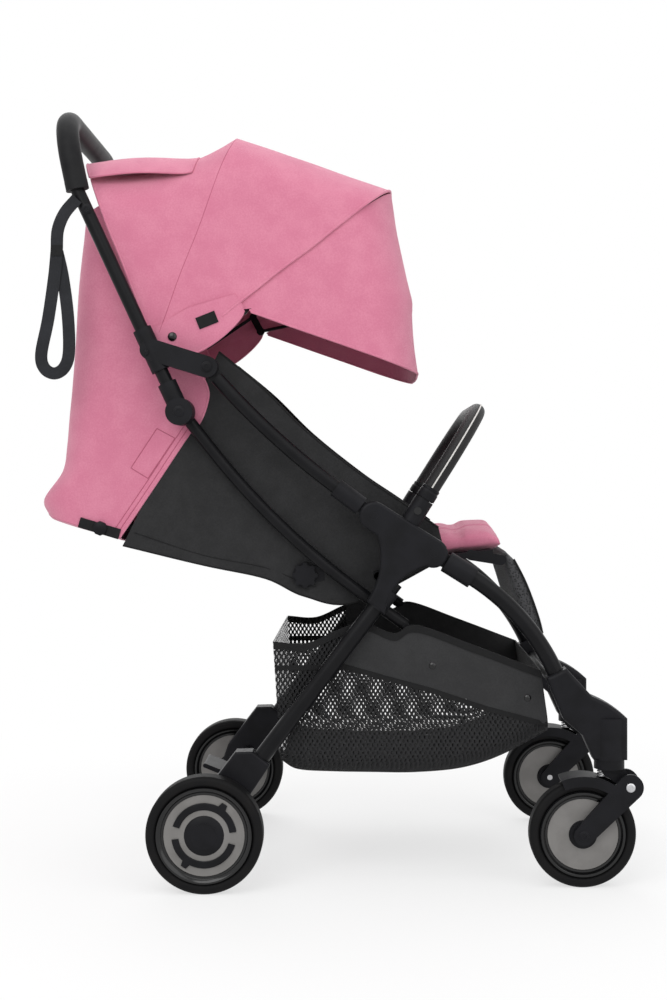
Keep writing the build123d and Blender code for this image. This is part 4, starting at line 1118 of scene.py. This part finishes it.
@dataclass
class SideCloth(ChassisCloth):
    """Black side wall of the seat, between the side tube and the seat pan."""

    top: tuple[Flat, ...] = ((-155.0, 706.0), (-98.0, 659.0), (-39.0, 601.0), (35.0, 542.0), (88.0, 506.0),
                             (140.0, 470.0))
    low: tuple[Flat, ...] = ((-284.0, 446.0), (-176.0, 420.0), (-92.0, 402.0), (-40.0, 378.0), (30.0, 370.0),
                             (150.0, 430.0))
    seam: tuple[Flat, ...] = ((-268.0, 463.0), (-176.0, 433.0), (-92.0, 416.0), (-40.0, 394.0))
    hub: Flat = (-39.0, 406.0)
    dimple: float = 7.0
    dimple_radius: float = 34.0
    dimple_rim: float = 1.15
    steps: int = 24
    y: float = 152.6
    crumple: Crumple = Crumple((0.0, 0.0, 1.0), (-60.0, 0.0, 400.0), 0.3)

    def spot(self, x: float, z: float, side: float) -> Point:
        """Place on the wall, which dips in round the recline hub."""
        near = math.dist((x, z), self.hub) / self.dimple_radius
        dip = self.dimple * max(0.0, self.dimple_rim - near)
        return x, side * (self.y - min(dip, self.dimple) + min(0.0, ripple((x, z, side), 60.0, 2.2))), z

    def build(self) -> None:
        """Makes both walls with their hems and seams."""
        columns = [between(a, b, self.steps) for a, b in zip(smooth_line(self.top), smooth_line(self.low))]
        for word, side in SIDES:
            rows = [[self.spot(x, z, side) for x, z in row] for row in zip(*columns)]
            wall = Sheet(f"seat_wall_{word}", rows, Finish.BLACK, self.body, held=Held.HUNG,
                         rests_on=("seat_pan",), thickness=1.4).build()
            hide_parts(f"side_cloth_{word}")
            self.hold(wall, "black_cloth")
            seam = smooth_line([self.spot(x, z, side) for x, z in self.seam])
            raised = [(x, y + side * 0.7, z) for x, y, z in seam]
            for name, line, radius in ((f"seat_wall_hem_{word}", rows[0], 1.5),
                                       (f"seat_wall_foot_{word}", rows[-1], 1.4),
                                       (f"seat_wall_seam_{word}", raised, 0.6)):
                bead = tube_through(name, line, radius, Finish.BLACK_TAPE)
                self.hold(bead, "black_cloth")


@dataclass
class Basket(ChassisCloth):
    """Net basket under the seat: a sagging tub with its ends, tapes and studs."""

    top: tuple[Flat, ...] = ((-80.0, 320.0), (-36.0, 318.0), (6.0, 336.0), (40.0, 345.0), (80.0, 331.0),
                             (110.0, 342.0), (184.0, 316.0), (274.0, 282.0))
    low: tuple[Flat, ...] = ((-70.0, 160.0), (-48.0, 148.0), (0.0, 145.0), (54.0, 144.0), (110.0, 144.0),
                             (172.0, 150.0), (226.0, 168.0), (285.0, 200.0))
    half_width: float = 180.4
    corner: float = 26.0
    slope: tuple[Flat, ...] = ((10.0, 288.0), (67.0, 272.0), (130.0, 255.0), (199.0, 232.0), (282.0, 210.0))
    crumple: Crumple = Crumple((1.0, 0.0, 0.0), (-10.0, 0.0, 230.0), 0.3)

    def section(self, top: Flat, low: Flat) -> Row:
        """One cross-section of the tub, down one side, over the floor and up the other."""
        depth = top[1] - low[1]
        corner = min(self.corner, 0.5 * depth)
        points = []
        for y, drop in trough(self.half_width, (0.0, depth), corner, (22, 7), bow=2.0):
            share = drop / depth
            x = top[0] + (low[0] - top[0]) * share
            sag = 3.0 * max(0.0, 1 - (y / self.half_width) ** 2) if share > 0.98 else 0.0
            wave = ripple((x, y, drop), 45.0, 1.0) * (1 if y > 0 else -1)
            points.append((x, y - wave, top[1] - drop - sag))
        return points

    def border(self, x: float) -> float:
        """Height of the sloping edge of the cloth panel."""
        for (x0, z0), (x1, z1) in zip(self.slope, self.slope[1:]):
            if x <= x1:
                return z0 + (z1 - z0) * (x - x0) / (x1 - x0)
        return self.slope[-1][1]

    def zone(self, spot: Point) -> int:
        """Which cloth covers a place: net, closed panel or floor."""
        x, y, z = spot
        if abs(y) < self.half_width - 0.7 * self.corner:
            return 2
        return 1 if x > self.slope[0][0] and z > self.border(x) else 0

    def build(self) -> None:
        """Makes the tub, its ends and trim."""
        rows = [self.section(a, b) for a, b in zip(smooth_line(self.top, 7), smooth_line(self.low, 7))]
        tub = Sheet("basket_tub", rows, Finish.NET, self.body, held=Held.HUNG, rests_on=("front_leg_left",
                    "front_leg_right", "rear_leg_left", "rear_leg_right"), zone=self.zone,
                    zone_finishes=(Finish.GREY, Finish.BLACK_TAPE)).build()
        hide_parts("basket")
        self.hold(tub, "grey_cloth")
        for name, rim, finish in (("basket_rear_wall", rows[0], Finish.NET),
                                  ("basket_front_wall", rows[-1], Finish.GREY)):
            self.wall(name, rim, finish)
        self.tapes(rows)

    def wall(self, name: str, rim: Row, finish: Finish) -> None:
        """Closes one end of the tub."""
        half = len(rim) // 2
        rows = [[tuple(Vector(a).lerp(Vector(b), i / 16)) for i in range(17)]
                for a, b in zip(rim[:half], reversed(rim[half + 1:]))]
        sheet = Sheet(name, rows, finish, self.body, held=Held.HUNG, rests_on=("basket_tub",))
        self.hold(sheet.build(), "grey_cloth")

    def tapes(self, rows: Sequence[Row]) -> None:
        """Sews the tapes along the edges and sets the studs."""
        lines: dict[str, tuple[list[Point], float]] = {}
        for word, side in SIDES:
            rim = [row[0] if side > 0 else row[-1] for row in rows]
            lines[f"basket_rim_tape_{word}"] = ([(x, y + side * 0.9, z - 5.0) for x, y, z in rim], 10.0)
            slope = [spot for a, b in zip(self.slope, self.slope[1:]) for spot in between(a, b, 8)]
            lines[f"basket_slope_tape_{word}"] = ([on_sheet(rows, spot, side, 0.9) for spot in slope], 7.0)
            band = between((-78.0, 285.0), (14.0, 286.0), 8)
            lines[f"basket_band_{word}"] = ([on_sheet(rows, spot, side, 0.9) for spot in band], 7.0)
            for number, spot in enumerate(((131.0, 288.0), (257.0, 245.0))):
                place = on_sheet(rows, spot, side, 0.6)
                stud = turned(f"basket_stud_{number}_{word}", place,
                              [(0.0, 2.6), (2.6, 2.2), (4.4, 1.0), (4.8, 0.0), (0.0, 0.0)], Finish.GLOSS,
                              axis=(0.0, side, 0.0), segments=24)
                self.hold(stud, "button_plastic")
        for name, (line, width) in lines.items():
            tape = ribbon(name, line, [(0.0, 0.0, 1.0)] * len(line), width, 1.0, Finish.BLACK_TAPE)
            self.hold(tape, "black_cloth")


@dataclass
class Channel:
    """A sewn line across a pad, as a plane through the pad."""

    spot: Point
    normal: Point
    width: float = 7.0
    depth: float = 4.0


@dataclass
class Pad:
    """A stuffed pad, swollen from its solid by a cloth simulation."""

    name: str
    node: str
    body: str
    finish: Finish
    slot: str
    cap: float = 6.0
    shrink: float = 4.0
    voxel: float = 5.0
    channels: tuple[Channel, ...] = ()

    def swell(self, piece: bpy.types.Object) -> None:
        """Blows the pad up from inside and limits how far it moves."""
        rest = [v.co.copy() for v in piece.data.vertices]
        cloth = piece.modifiers.new("swell", "CLOTH")
        cloth.settings.quality = 6
        cloth.settings.use_pressure = True
        cloth.settings.uniform_pressure_force = 4.0
        cloth.settings.effector_weights.gravity = 0.0
        cloth.collision_settings.use_collision = False
        for step in range(1, 21):
            bpy.context.scene.frame_set(step)
        apply_all(piece)
        bpy.context.scene.frame_set(1)
        limit = self.cap * MM
        for vertex, start in zip(piece.data.vertices, rest):
            move = vertex.co - start
            if move.length > limit:
                vertex.co = start + move * (limit / move.length)

    def sew(self, piece: bpy.types.Object) -> None:
        """Draws the sewn channels into the pad."""
        normals = [v.normal.copy() for v in piece.data.vertices]
        for channel in self.channels:
            way = Vector(channel.normal).normalized()
            start = Vector(channel.spot) * MM
            for vertex, normal in zip(piece.data.vertices, normals):
                off = abs((vertex.co - start).dot(way)) / (channel.width * MM)
                if off < 1:
                    vertex.co -= normal * (channel.depth * MM * (1 - off * off) ** 2)

    def build(self, nodes: dict[str, bpy.types.Object]) -> None:
        """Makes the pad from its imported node."""
        piece = link(bpy.data.objects.new(self.name, nodes[self.node].data.copy()))
        piece.data.materials.clear()
        remesh = piece.modifiers.new("remesh", "REMESH")
        remesh.mode = "VOXEL"
        remesh.voxel_size = self.voxel * MM
        apply_all(piece)
        normals = [v.normal.copy() for v in piece.data.vertices]
        for vertex, normal in zip(piece.data.vertices, normals):
            vertex.co -= normal * (self.shrink * MM)
        self.swell(piece)
        smooth = piece.modifiers.new("smooth", "SMOOTH")
        smooth.iterations = 4
        fine = piece.modifiers.new("fine", "SUBSURF")
        fine.levels = 1
        apply_all(piece)
        self.sew(piece)
        piece.data.materials.clear()
        piece.data.materials.append(self.finish.material)
        piece.data.shade_smooth()
        settle(piece, self.body)
        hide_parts(self.node)


@dataclass
class Seat:
    """The two pads that the child sits on and leans against."""

    recline: float = 165.0

    def build(self, nodes: dict[str, bpy.types.Object]) -> None:
        """Makes the cushion and the back pad."""
        back = (math.cos(math.radians(self.recline)), 0.0, math.sin(math.radians(self.recline)))
        lengthwise = tuple(Channel((0.0, y, 0.0), (0.0, 1.0, 0.0)) for y in (-78.0, 78.0))
        across = tuple(Channel((-39.0 + back[0] * r, 0.0, 406.0 + back[2] * r), back)
                       for r in (105.0, 200.0))
        Pad("seat_cushion_pad", "seat_cushion", "chassis", Finish.PINK, "pink_cloth",
            channels=lengthwise + (Channel((105.0, 0.0, 440.0), (1.0, 0.0, 0.1)),)).build(nodes)
        Pad("back_pad", "backrest_pad", "backrest", Finish.PINK, "pink_cloth", cap=5.0, shrink=3.0,
            voxel=4.5, channels=lengthwise + across).build(nodes)


@dataclass
class CalfPad:
    """Knit-covered calf rest in front of the seat, a bowed pad with rounded sides."""

    front: tuple[Flat, ...] = ((238.0, 440.0), (262.0, 397.0), (280.0, 350.0), (288.0, 318.0))
    rear: tuple[Flat, ...] = ((224.0, 431.0), (238.0, 388.0), (250.0, 346.0), (258.0, 314.0))
    half_width: float = 136.0
    steps: int = 48
    body: str = "leg_rest"

    def build(self) -> None:
        """Makes the pad and its piped edges."""
        front = smooth_line(self.front, 7)
        rear = smooth_line(self.rear, 7)
        rows = []
        for i, (a, b) in enumerate(zip(front, rear)):
            end = abs(2 * i / (len(front) - 1) - 1)
            full = max(0.25, 1 - end ** 8)
            turns = (2 * math.pi * j / self.steps for j in range(self.steps + 1))
            rows.append([self.around(a, b, turn, full) for turn in turns])
        pad = add_grid("calf_pad", rows, Finish.KNIT, more=end_caps(rows, spare=1))
        face_outwards(pad, weld=True)
        crease(pad, 60.0)
        settle(pad, self.body)
        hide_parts("leg_rest")
        for word, side in SIDES:
            line = [(p[0] * 0.85 + q[0] * 0.15, side * (self.half_width - 1.0), p[1] * 0.85 + q[1] * 0.15)
                    for p, q in zip(front[2:-2], rear[2:-2])]
            piping = tube_through(f"calf_piping_{word}", line, 1.6, Finish.BLACK_TAPE)
            settle(piping, self.body)

    def around(self, front: Flat, rear: Flat, turn: float, full: float) -> Point:
        """Place on the rounded section between a front and a rear point."""
        wide, deep = math.cos(turn), math.sin(turn)
        y = self.half_width * math.copysign(abs(wide) ** 0.3, wide)
        t = 0.5 + 0.5 * full * math.copysign(abs(deep) ** 0.55, deep)
        return rear[0] + (front[0] - rear[0]) * t, y, rear[1] + (front[1] - rear[1]) * t


@dataclass
class GuardTrim:
    """Piping and foot rings on the padded guard bar."""

    foot: Flat = (119.83, 508.78)
    way: Flat = (0.5320, 0.8467)
    reach: float = 140.0
    half_width: float = 192.0
    corner: float = 90.0
    radius: float = 11.0
    body: str = "guard"

    def at(self, across: float, along: float) -> Point:
        """Place in the loop's own plane."""
        return self.foot[0] + self.way[0] * along, across, self.foot[1] + self.way[1] * along

    def build(self) -> None:
        """Makes the piping and the rings."""
        out = self.radius + 0.2
        straight = [18.0 + i * 4.0 for i in range(9)]
        line = [self.at(-self.half_width - out, along) for along in straight]
        for start in (180.0, 90.0):
            middle = self.half_width - self.corner
            for i in range(25):
                a = math.radians(start - 90.0 * i / 24)
                centre = -middle if start > 90 else middle
                line.append(self.at(centre + (self.corner + out) * math.cos(a),
                                    self.reach - self.corner + (self.corner + out) * math.sin(a)))
        line += [self.at(self.half_width + out, along) for along in reversed(straight)]
        settle(tube_through("guard_piping", line, 1.0, Finish.THREAD), self.body)
        for word, side in SIDES:
            base = self.at(side * self.half_width, 1.0)
            ferrule = turned(f"guard_ferrule_{word}", base,
                             [(11.05, 0.0), (12.6, 0.0), (12.9, 0.8), (12.9, 10.0), (12.2, 11.0),
                              (11.9, 13.0), (12.4, 13.6), (12.4, 16.2), (11.05, 17.0), (11.05, 0.0)],
                             Finish.PLASTIC,
                             axis=(self.way[0], 0.0, self.way[1]))
            settle(ferrule, self.body)


@dataclass
class WristStrap:
    """Webbing loop that hangs from the handle's right collar."""

    tail: tuple[Flat, ...] = ((-336.0, 903.0), (-352.0, 884.0), (-361.0, 862.0), (-362.5, 836.0))
    loop: tuple[Flat, ...] = (
        (-362.5, 836.0), (-366.0, 800.0), (-374.0, 745.0), (-383.0, 700.0), (-379.0, 681.0), (-366.0, 674.0),
        (-353.0, 682.0), (-347.0, 703.0), (-348.5, 750.0), (-355.0, 800.0), (-362.5, 834.0))
    y: float = -202.3
    width: float = 16.0
    body: str = "push_handle"

    def build(self) -> None:
        """Makes the tail, the loop and the stitched joint."""
        tail = smooth_line([(x, self.y - 0.6, z) for x, z in self.tail])
        loop = smooth_line([(x, self.y + 0.3 * i, z) for i, (x, z) in enumerate(self.loop)])
        strip = tail + loop[1:]
        piece = ribbon("wrist_strap", strip, self.normals(strip), self.width, 1.7, Finish.WEBBING)
        settle(piece, self.body)
        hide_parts("carry_strap")
        joint = ribbon("wrist_strap_stitch", [(-362.0, self.y - 1.6, 842.0), (-362.8, self.y - 1.6, 828.0)],
                       [(1.0, 0.0, 0.0)] * 2, self.width - 1.0, 0.8, Finish.BLACK_TAPE)
        settle(joint, self.body)

    @staticmethod
    def normals(strip: Sequence[Point]) -> list[Point]:
        """Width directions of webbing that lies flat in the side view."""
        ways = []
        for before, after in zip([strip[0], *strip[:-1]], [*strip[1:], strip[-1]]):
            ways.append((after[2] - before[2], 0.0, before[0] - after[0]))
        return ways


@dataclass
class WheelTrim:
    """Hub caps of the wheels: dished ring, disc, dome and raised arcs."""

    rear: Point = (-166.0, 224.0, 76.0)
    front: Point = (327.0, 192.0, 70.0)

    def build(self) -> None:
        """Dresses all four wheels on both faces."""
        for word, side in SIDES:
            for face, outer in (("outer", side), ("inner", -side)):
                self.caps(f"rear_{word}_{face}", f"rear_wheel_{word}", self.place(self.rear, side), outer,
                          (53.0, 62.2, 26.0), (16.9, 12.4, 17.6) if face == "outer" else (16.6, 12.0, 15.4))
                self.caps(f"front_{word}_{face}", f"front_wheel_{word}", self.place(self.front, side), outer,
                          (47.0, 55.6, 19.0), (15.4, 11.4, 14.8))
                if face == "outer":
                    self.arcs(f"rear_{word}", f"rear_wheel_{word}", self.place(self.rear, side), outer)

    @staticmethod
    def place(centre: Point, side: float) -> Point:
        """Wheel centre on one side of the stroller."""
        return centre[0], centre[1] * side, centre[2]

    @staticmethod
    def caps(name: str, body: str, centre: Point, out: float, radii: Point, heights: Point) -> None:
        """Adds ring, disc and dome to one face of a wheel."""
        disc, rim, dome = radii
        lip, bed, crown = heights
        axis = (0.0, out, 0.0)
        ring = [(disc - 1.0, bed - 2.0), (disc, bed + 0.4), (disc + 2.6, bed + 0.6), (rim - 3.4, lip - 0.2),
                (rim - 1.6, lip + 0.4), (rim - 0.4, lip + 0.3), (rim, lip - 1.0), (rim - 5.4, bed - 3.0),
                (disc - 1.0, bed - 2.0)]
        plate = [(dome - 1.5, bed + 0.6), (dome + 2.0, bed + 0.2), (disc - 4.0, bed - 0.8),
                 (disc - 0.6, bed - 0.4), (disc - 0.6, bed - 3.0), (dome - 1.5, bed - 3.0),
                 (dome - 1.5, bed + 0.6)]
        hub = [(0.0, crown), (dome * 0.3, crown - 0.2), (dome * 0.62, crown - 1.0),
               (dome * 0.86, crown - 2.4), (dome, bed + 0.4), (dome, bed - 3.0), (0.0, bed - 3.0)]
        settle(turned(f"dish_{name}", centre, ring, Finish.GLOSS, axis, 72), body)
        settle(turned(f"disc_{name}", centre, plate, Finish.DISC, axis, 72), body)
        settle(turned(f"dome_{name}", centre, hub, Finish.PLASTIC, axis, 48), body)

    @staticmethod
    def arcs(name: str, body: str, centre: Point, out: float) -> None:
        """Adds the two raised arcs, each with one tab."""
        steps, tab_steps = 52, range(15, 19)
        inner, outer, tab_end = 33.0, 42.0, 48.5
        base, shoulder, top = 10.0, 13.2, 13.9
        for number, (start, end) in enumerate(((187.0, 343.0), (7.0, 163.0))):
            rows = []
            for i in range(steps + 1):
                angle = math.radians(start + (end - start) * i / steps)
                edge = tab_end if i in tab_steps else outer
                section = [(inner, base), (inner, shoulder), (inner + 1.0, top), (edge - 1.0, top),
                           (edge, shoulder), (edge, base)]
                rows.append([(centre[0] + r * math.cos(angle), centre[1] + out * h,
                              centre[2] + r * math.sin(angle)) for r, h in section])
            width = len(rows[0])
            floor = [(i * width, (i + 1) * width, (i + 2) * width - 1, (i + 1) * width - 1)
                     for i in range(steps)]
            piece = add_grid(f"arc_{number}_{name}", rows, Finish.PLASTIC, more=floor + end_caps(rows))
            face_outwards(piece)
            crease(piece)
            settle(piece, body)


@dataclass
class Fastener:
    """A rivet or bolt head on the frame's outer side."""

    name: str
    body: str
    spot: Flat
    y: float
    radius: float
    finish: Finish = Finish.PLASTIC
    each_body: bool = False

    def build(self) -> None:
        """Sets the head on both sides of the stroller."""
        r = self.radius
        profile = [(0.0, 0.9), (r * 0.42, 0.9), (r * 0.46, 1.5), (r * 0.8, 1.4), (r * 0.97, 0.8), (r, 0.0),
                   (0.0, -0.6)]
        for word, side in SIDES:
            head = turned(f"{self.name}_{word}", (self.spot[0], side * self.y, self.spot[1]), profile,
                          self.finish, (0.0, side, 0.0), 32)
            body = f"{self.body}_{word}" if self.each_body else self.body
            settle(head, body)


@dataclass
class Hardware:
    """Rivets, bolts and the springs of the front wheels."""

    heads: tuple[Fastener, ...] = (
        Fastener("grip_rivet", "push_handle", (-324.0, 889.5), 201.0, 7.0),
        Fastener("collar_rivet", "hood_carrier", (-245.5, 700.7), 204.4, 3.6),
        Fastener("bracket_bolt", "hood_carrier", (-166.0, 682.7), 204.4, 7.0),
        Fastener("hinge_bolt", "push_handle", (-202.0, 624.0), 207.8, 7.5),
        Fastener("link_screw", "links", (95.5, 340.0), 171.0, 4.6),
        Fastener("leg_rivet_top", "front_frame", (308.7, 261.7), 206.4, 4.0),
        Fastener("leg_rivet_low", "front_frame", (323.2, 239.5), 206.4, 4.0),
        Fastener("fork_pivot_bolt", "caster", (388.0, 133.0), 213.9, 6.0, Finish.STEEL, True),
        Fastener("front_axle_bolt", "fork", (327.0, 70.0), 213.9, 7.0, Finish.PLASTIC, True),
    )
    spring: Point = (354.0, 192.0, 143.0)
    spring_height: float = 17.0
    coil_radius: float = 6.0
    coils: int = 5
    wire: float = 1.2
    steps: int = 120

    def build(self) -> None:
        """Sets every head and winds the springs."""
        for head in self.heads:
            head.build()
        for word, side in SIDES:
            x, y, z = self.spring
            line = []
            for i in range(self.steps + 1):
                t = i / self.steps
                a = 2 * math.pi * self.coils * t
                line.append((x + self.coil_radius * math.cos(a), side * y + self.coil_radius * math.sin(a),
                             z + self.spring_height * t))
            spring = tube_through(f"fork_spring_{word}", line, self.wire, Finish.STEEL)
            settle(spring, f"caster_{word}")


@dataclass
class Dressing:
    """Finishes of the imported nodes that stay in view."""

    by_slot: dict[str, Finish] = field(default_factory=lambda: {
        "frame_paint": Finish.PAINT,
        "black_plastic": Finish.PLASTIC,
        "button_plastic": Finish.GLOSS,
        "rim_plastic": Finish.PLASTIC,
        "tyre_foam": Finish.TYRE,
        "grip_foam": Finish.FOAM,
        "steel": Finish.STEEL,
        "pink_cloth": Finish.PINK,
        "black_cloth": Finish.BLACK,
        "grey_cloth": Finish.GREY,
        "guard_leather": Finish.HIDE,
    })
    own: dict[str, Finish] = field(default_factory=lambda: {
        "side_joint_pins": Finish.PLASTIC,
        "canopy_bow_mid": Finish.PAINT,
        "canopy_bow_front": Finish.PAINT,
        "visor_bow": Finish.PAINT,
    })

    def build(self, frame: dict) -> None:
        """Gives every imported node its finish."""
        for row in frame["record"]["subparts"]:
            node = frame["nodes"][row["node"]]
            material = self.own.get(row["node"], self.by_slot[row["material_slot"]]).material
            if not node.material_slots:
                node.data.materials.append(material)
            for slot in node.material_slots:
                slot.material = material


@dataclass
class Stage:
    """Floor, light and camera."""

    camera: Point = (48.0, -2234.0, 550.0)
    lens: float = 55.8
    shift: Flat = (-0.0365, -0.032)
    lamps: tuple[tuple[str, Point, float, float], ...] = (
        ("key", (-900.0, -2300.0, 2300.0), 2.2, 44.0),
        ("fill", (1700.0, -1700.0, 1500.0), 2.4, 20.0),
        ("top", (0.0, 300.0, 2800.0), 2.6, 28.0),
        ("back", (-600.0, 2200.0, 1900.0), 2.4, 28.0),
    )
    aim: Point = (0.0, 0.0, 480.0)

    def build(self) -> None:
        """Sets the whole stage."""
        self.floor()
        self.light()
        self.world()
        data = bpy.data.cameras.new("camera")
        data.lens = self.lens
        data.shift_x, data.shift_y = self.shift
        eye = link(bpy.data.objects.new("camera", data))
        eye.location = Vector(self.camera) * MM
        eye.rotation_euler = (math.pi / 2, 0.0, 0.0)
        bpy.context.scene.camera = eye
        bpy.context.scene.view_settings.view_transform = "Standard"

    def floor(self) -> None:
        """Lays a pale floor that fades into the white background."""
        size = 12000.0
        points = [(-size, -size, 0.0), (size, -size, 0.0), (size, size, 0.0), (-size, size, 0.0)]
        graph = Graph("floor")
        x, y, _ = graph.axes()
        reach = x * x + y * y * 1.4
        share = reach.ramp(500.0 ** 2, 1300.0 ** 2) * 0.35 + 0.65
        matte = graph.value("ShaderNodeBsdfDiffuse", inputs={"Color": (0.93, 0.93, 0.93)})
        glow = graph.value("ShaderNodeEmission", inputs={"Color": WHITE, "Strength": 1.0})
        ground = graph.end(graph.value("ShaderNodeMixShader", inputs={0: share, 1: matte, 2: glow}))
        add_mesh("floor", points, [(0, 1, 2, 3)], ground)

    def light(self) -> None:
        """Hangs the soft lamps."""
        for name, spot, size, power in self.lamps:
            data = bpy.data.lights.new(name, "AREA")
            data.size = size
            data.energy = power
            lamp = link(bpy.data.objects.new(name, data))
            lamp.location = Vector(spot) * MM
            lamp.rotation_euler = (Vector(self.aim) - Vector(spot)).to_track_quat("-Z", "Y").to_euler()

    @staticmethod
    def world() -> None:
        """Makes the surroundings white in view and softer as light."""
        graph = Graph("studio", "worlds")
        bpy.context.scene.world = graph.owner
        path = graph.node("ShaderNodeLightPath")
        seen, through, mirrored = (Val(graph, path.outputs[f"Is {ray} Ray"])
                                   for ray in ("Camera", "Transmission", "Glossy"))
        shown = seen.top(through).top(mirrored)
        soft = graph.value("ShaderNodeBackground", inputs={"Color": WHITE, "Strength": 0.4})
        full = graph.value("ShaderNodeBackground", inputs={"Color": WHITE, "Strength": 1.0})
        mixed = graph.value("ShaderNodeMixShader", inputs={0: shown, 1: soft, 2: full})
        graph.end(mixed, "ShaderNodeOutputWorld")


def main() -> None:
    """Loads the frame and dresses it."""
    logging.basicConfig(level=logging.INFO, format="%(name)s: %(message)s")
    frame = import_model()
    Dressing().build(frame)
    Stage().build()
    for part in (Canopy(), Visor(), BackCloth(), SideCloth(), Basket(), CalfPad(), GuardTrim(), WristStrap(),
                 WheelTrim(), Hardware()):
        part.build()
        LOG.info("made %s", type(part).__name__)
    Seat().build(frame["nodes"])


if __name__ == "__main__":
    main()
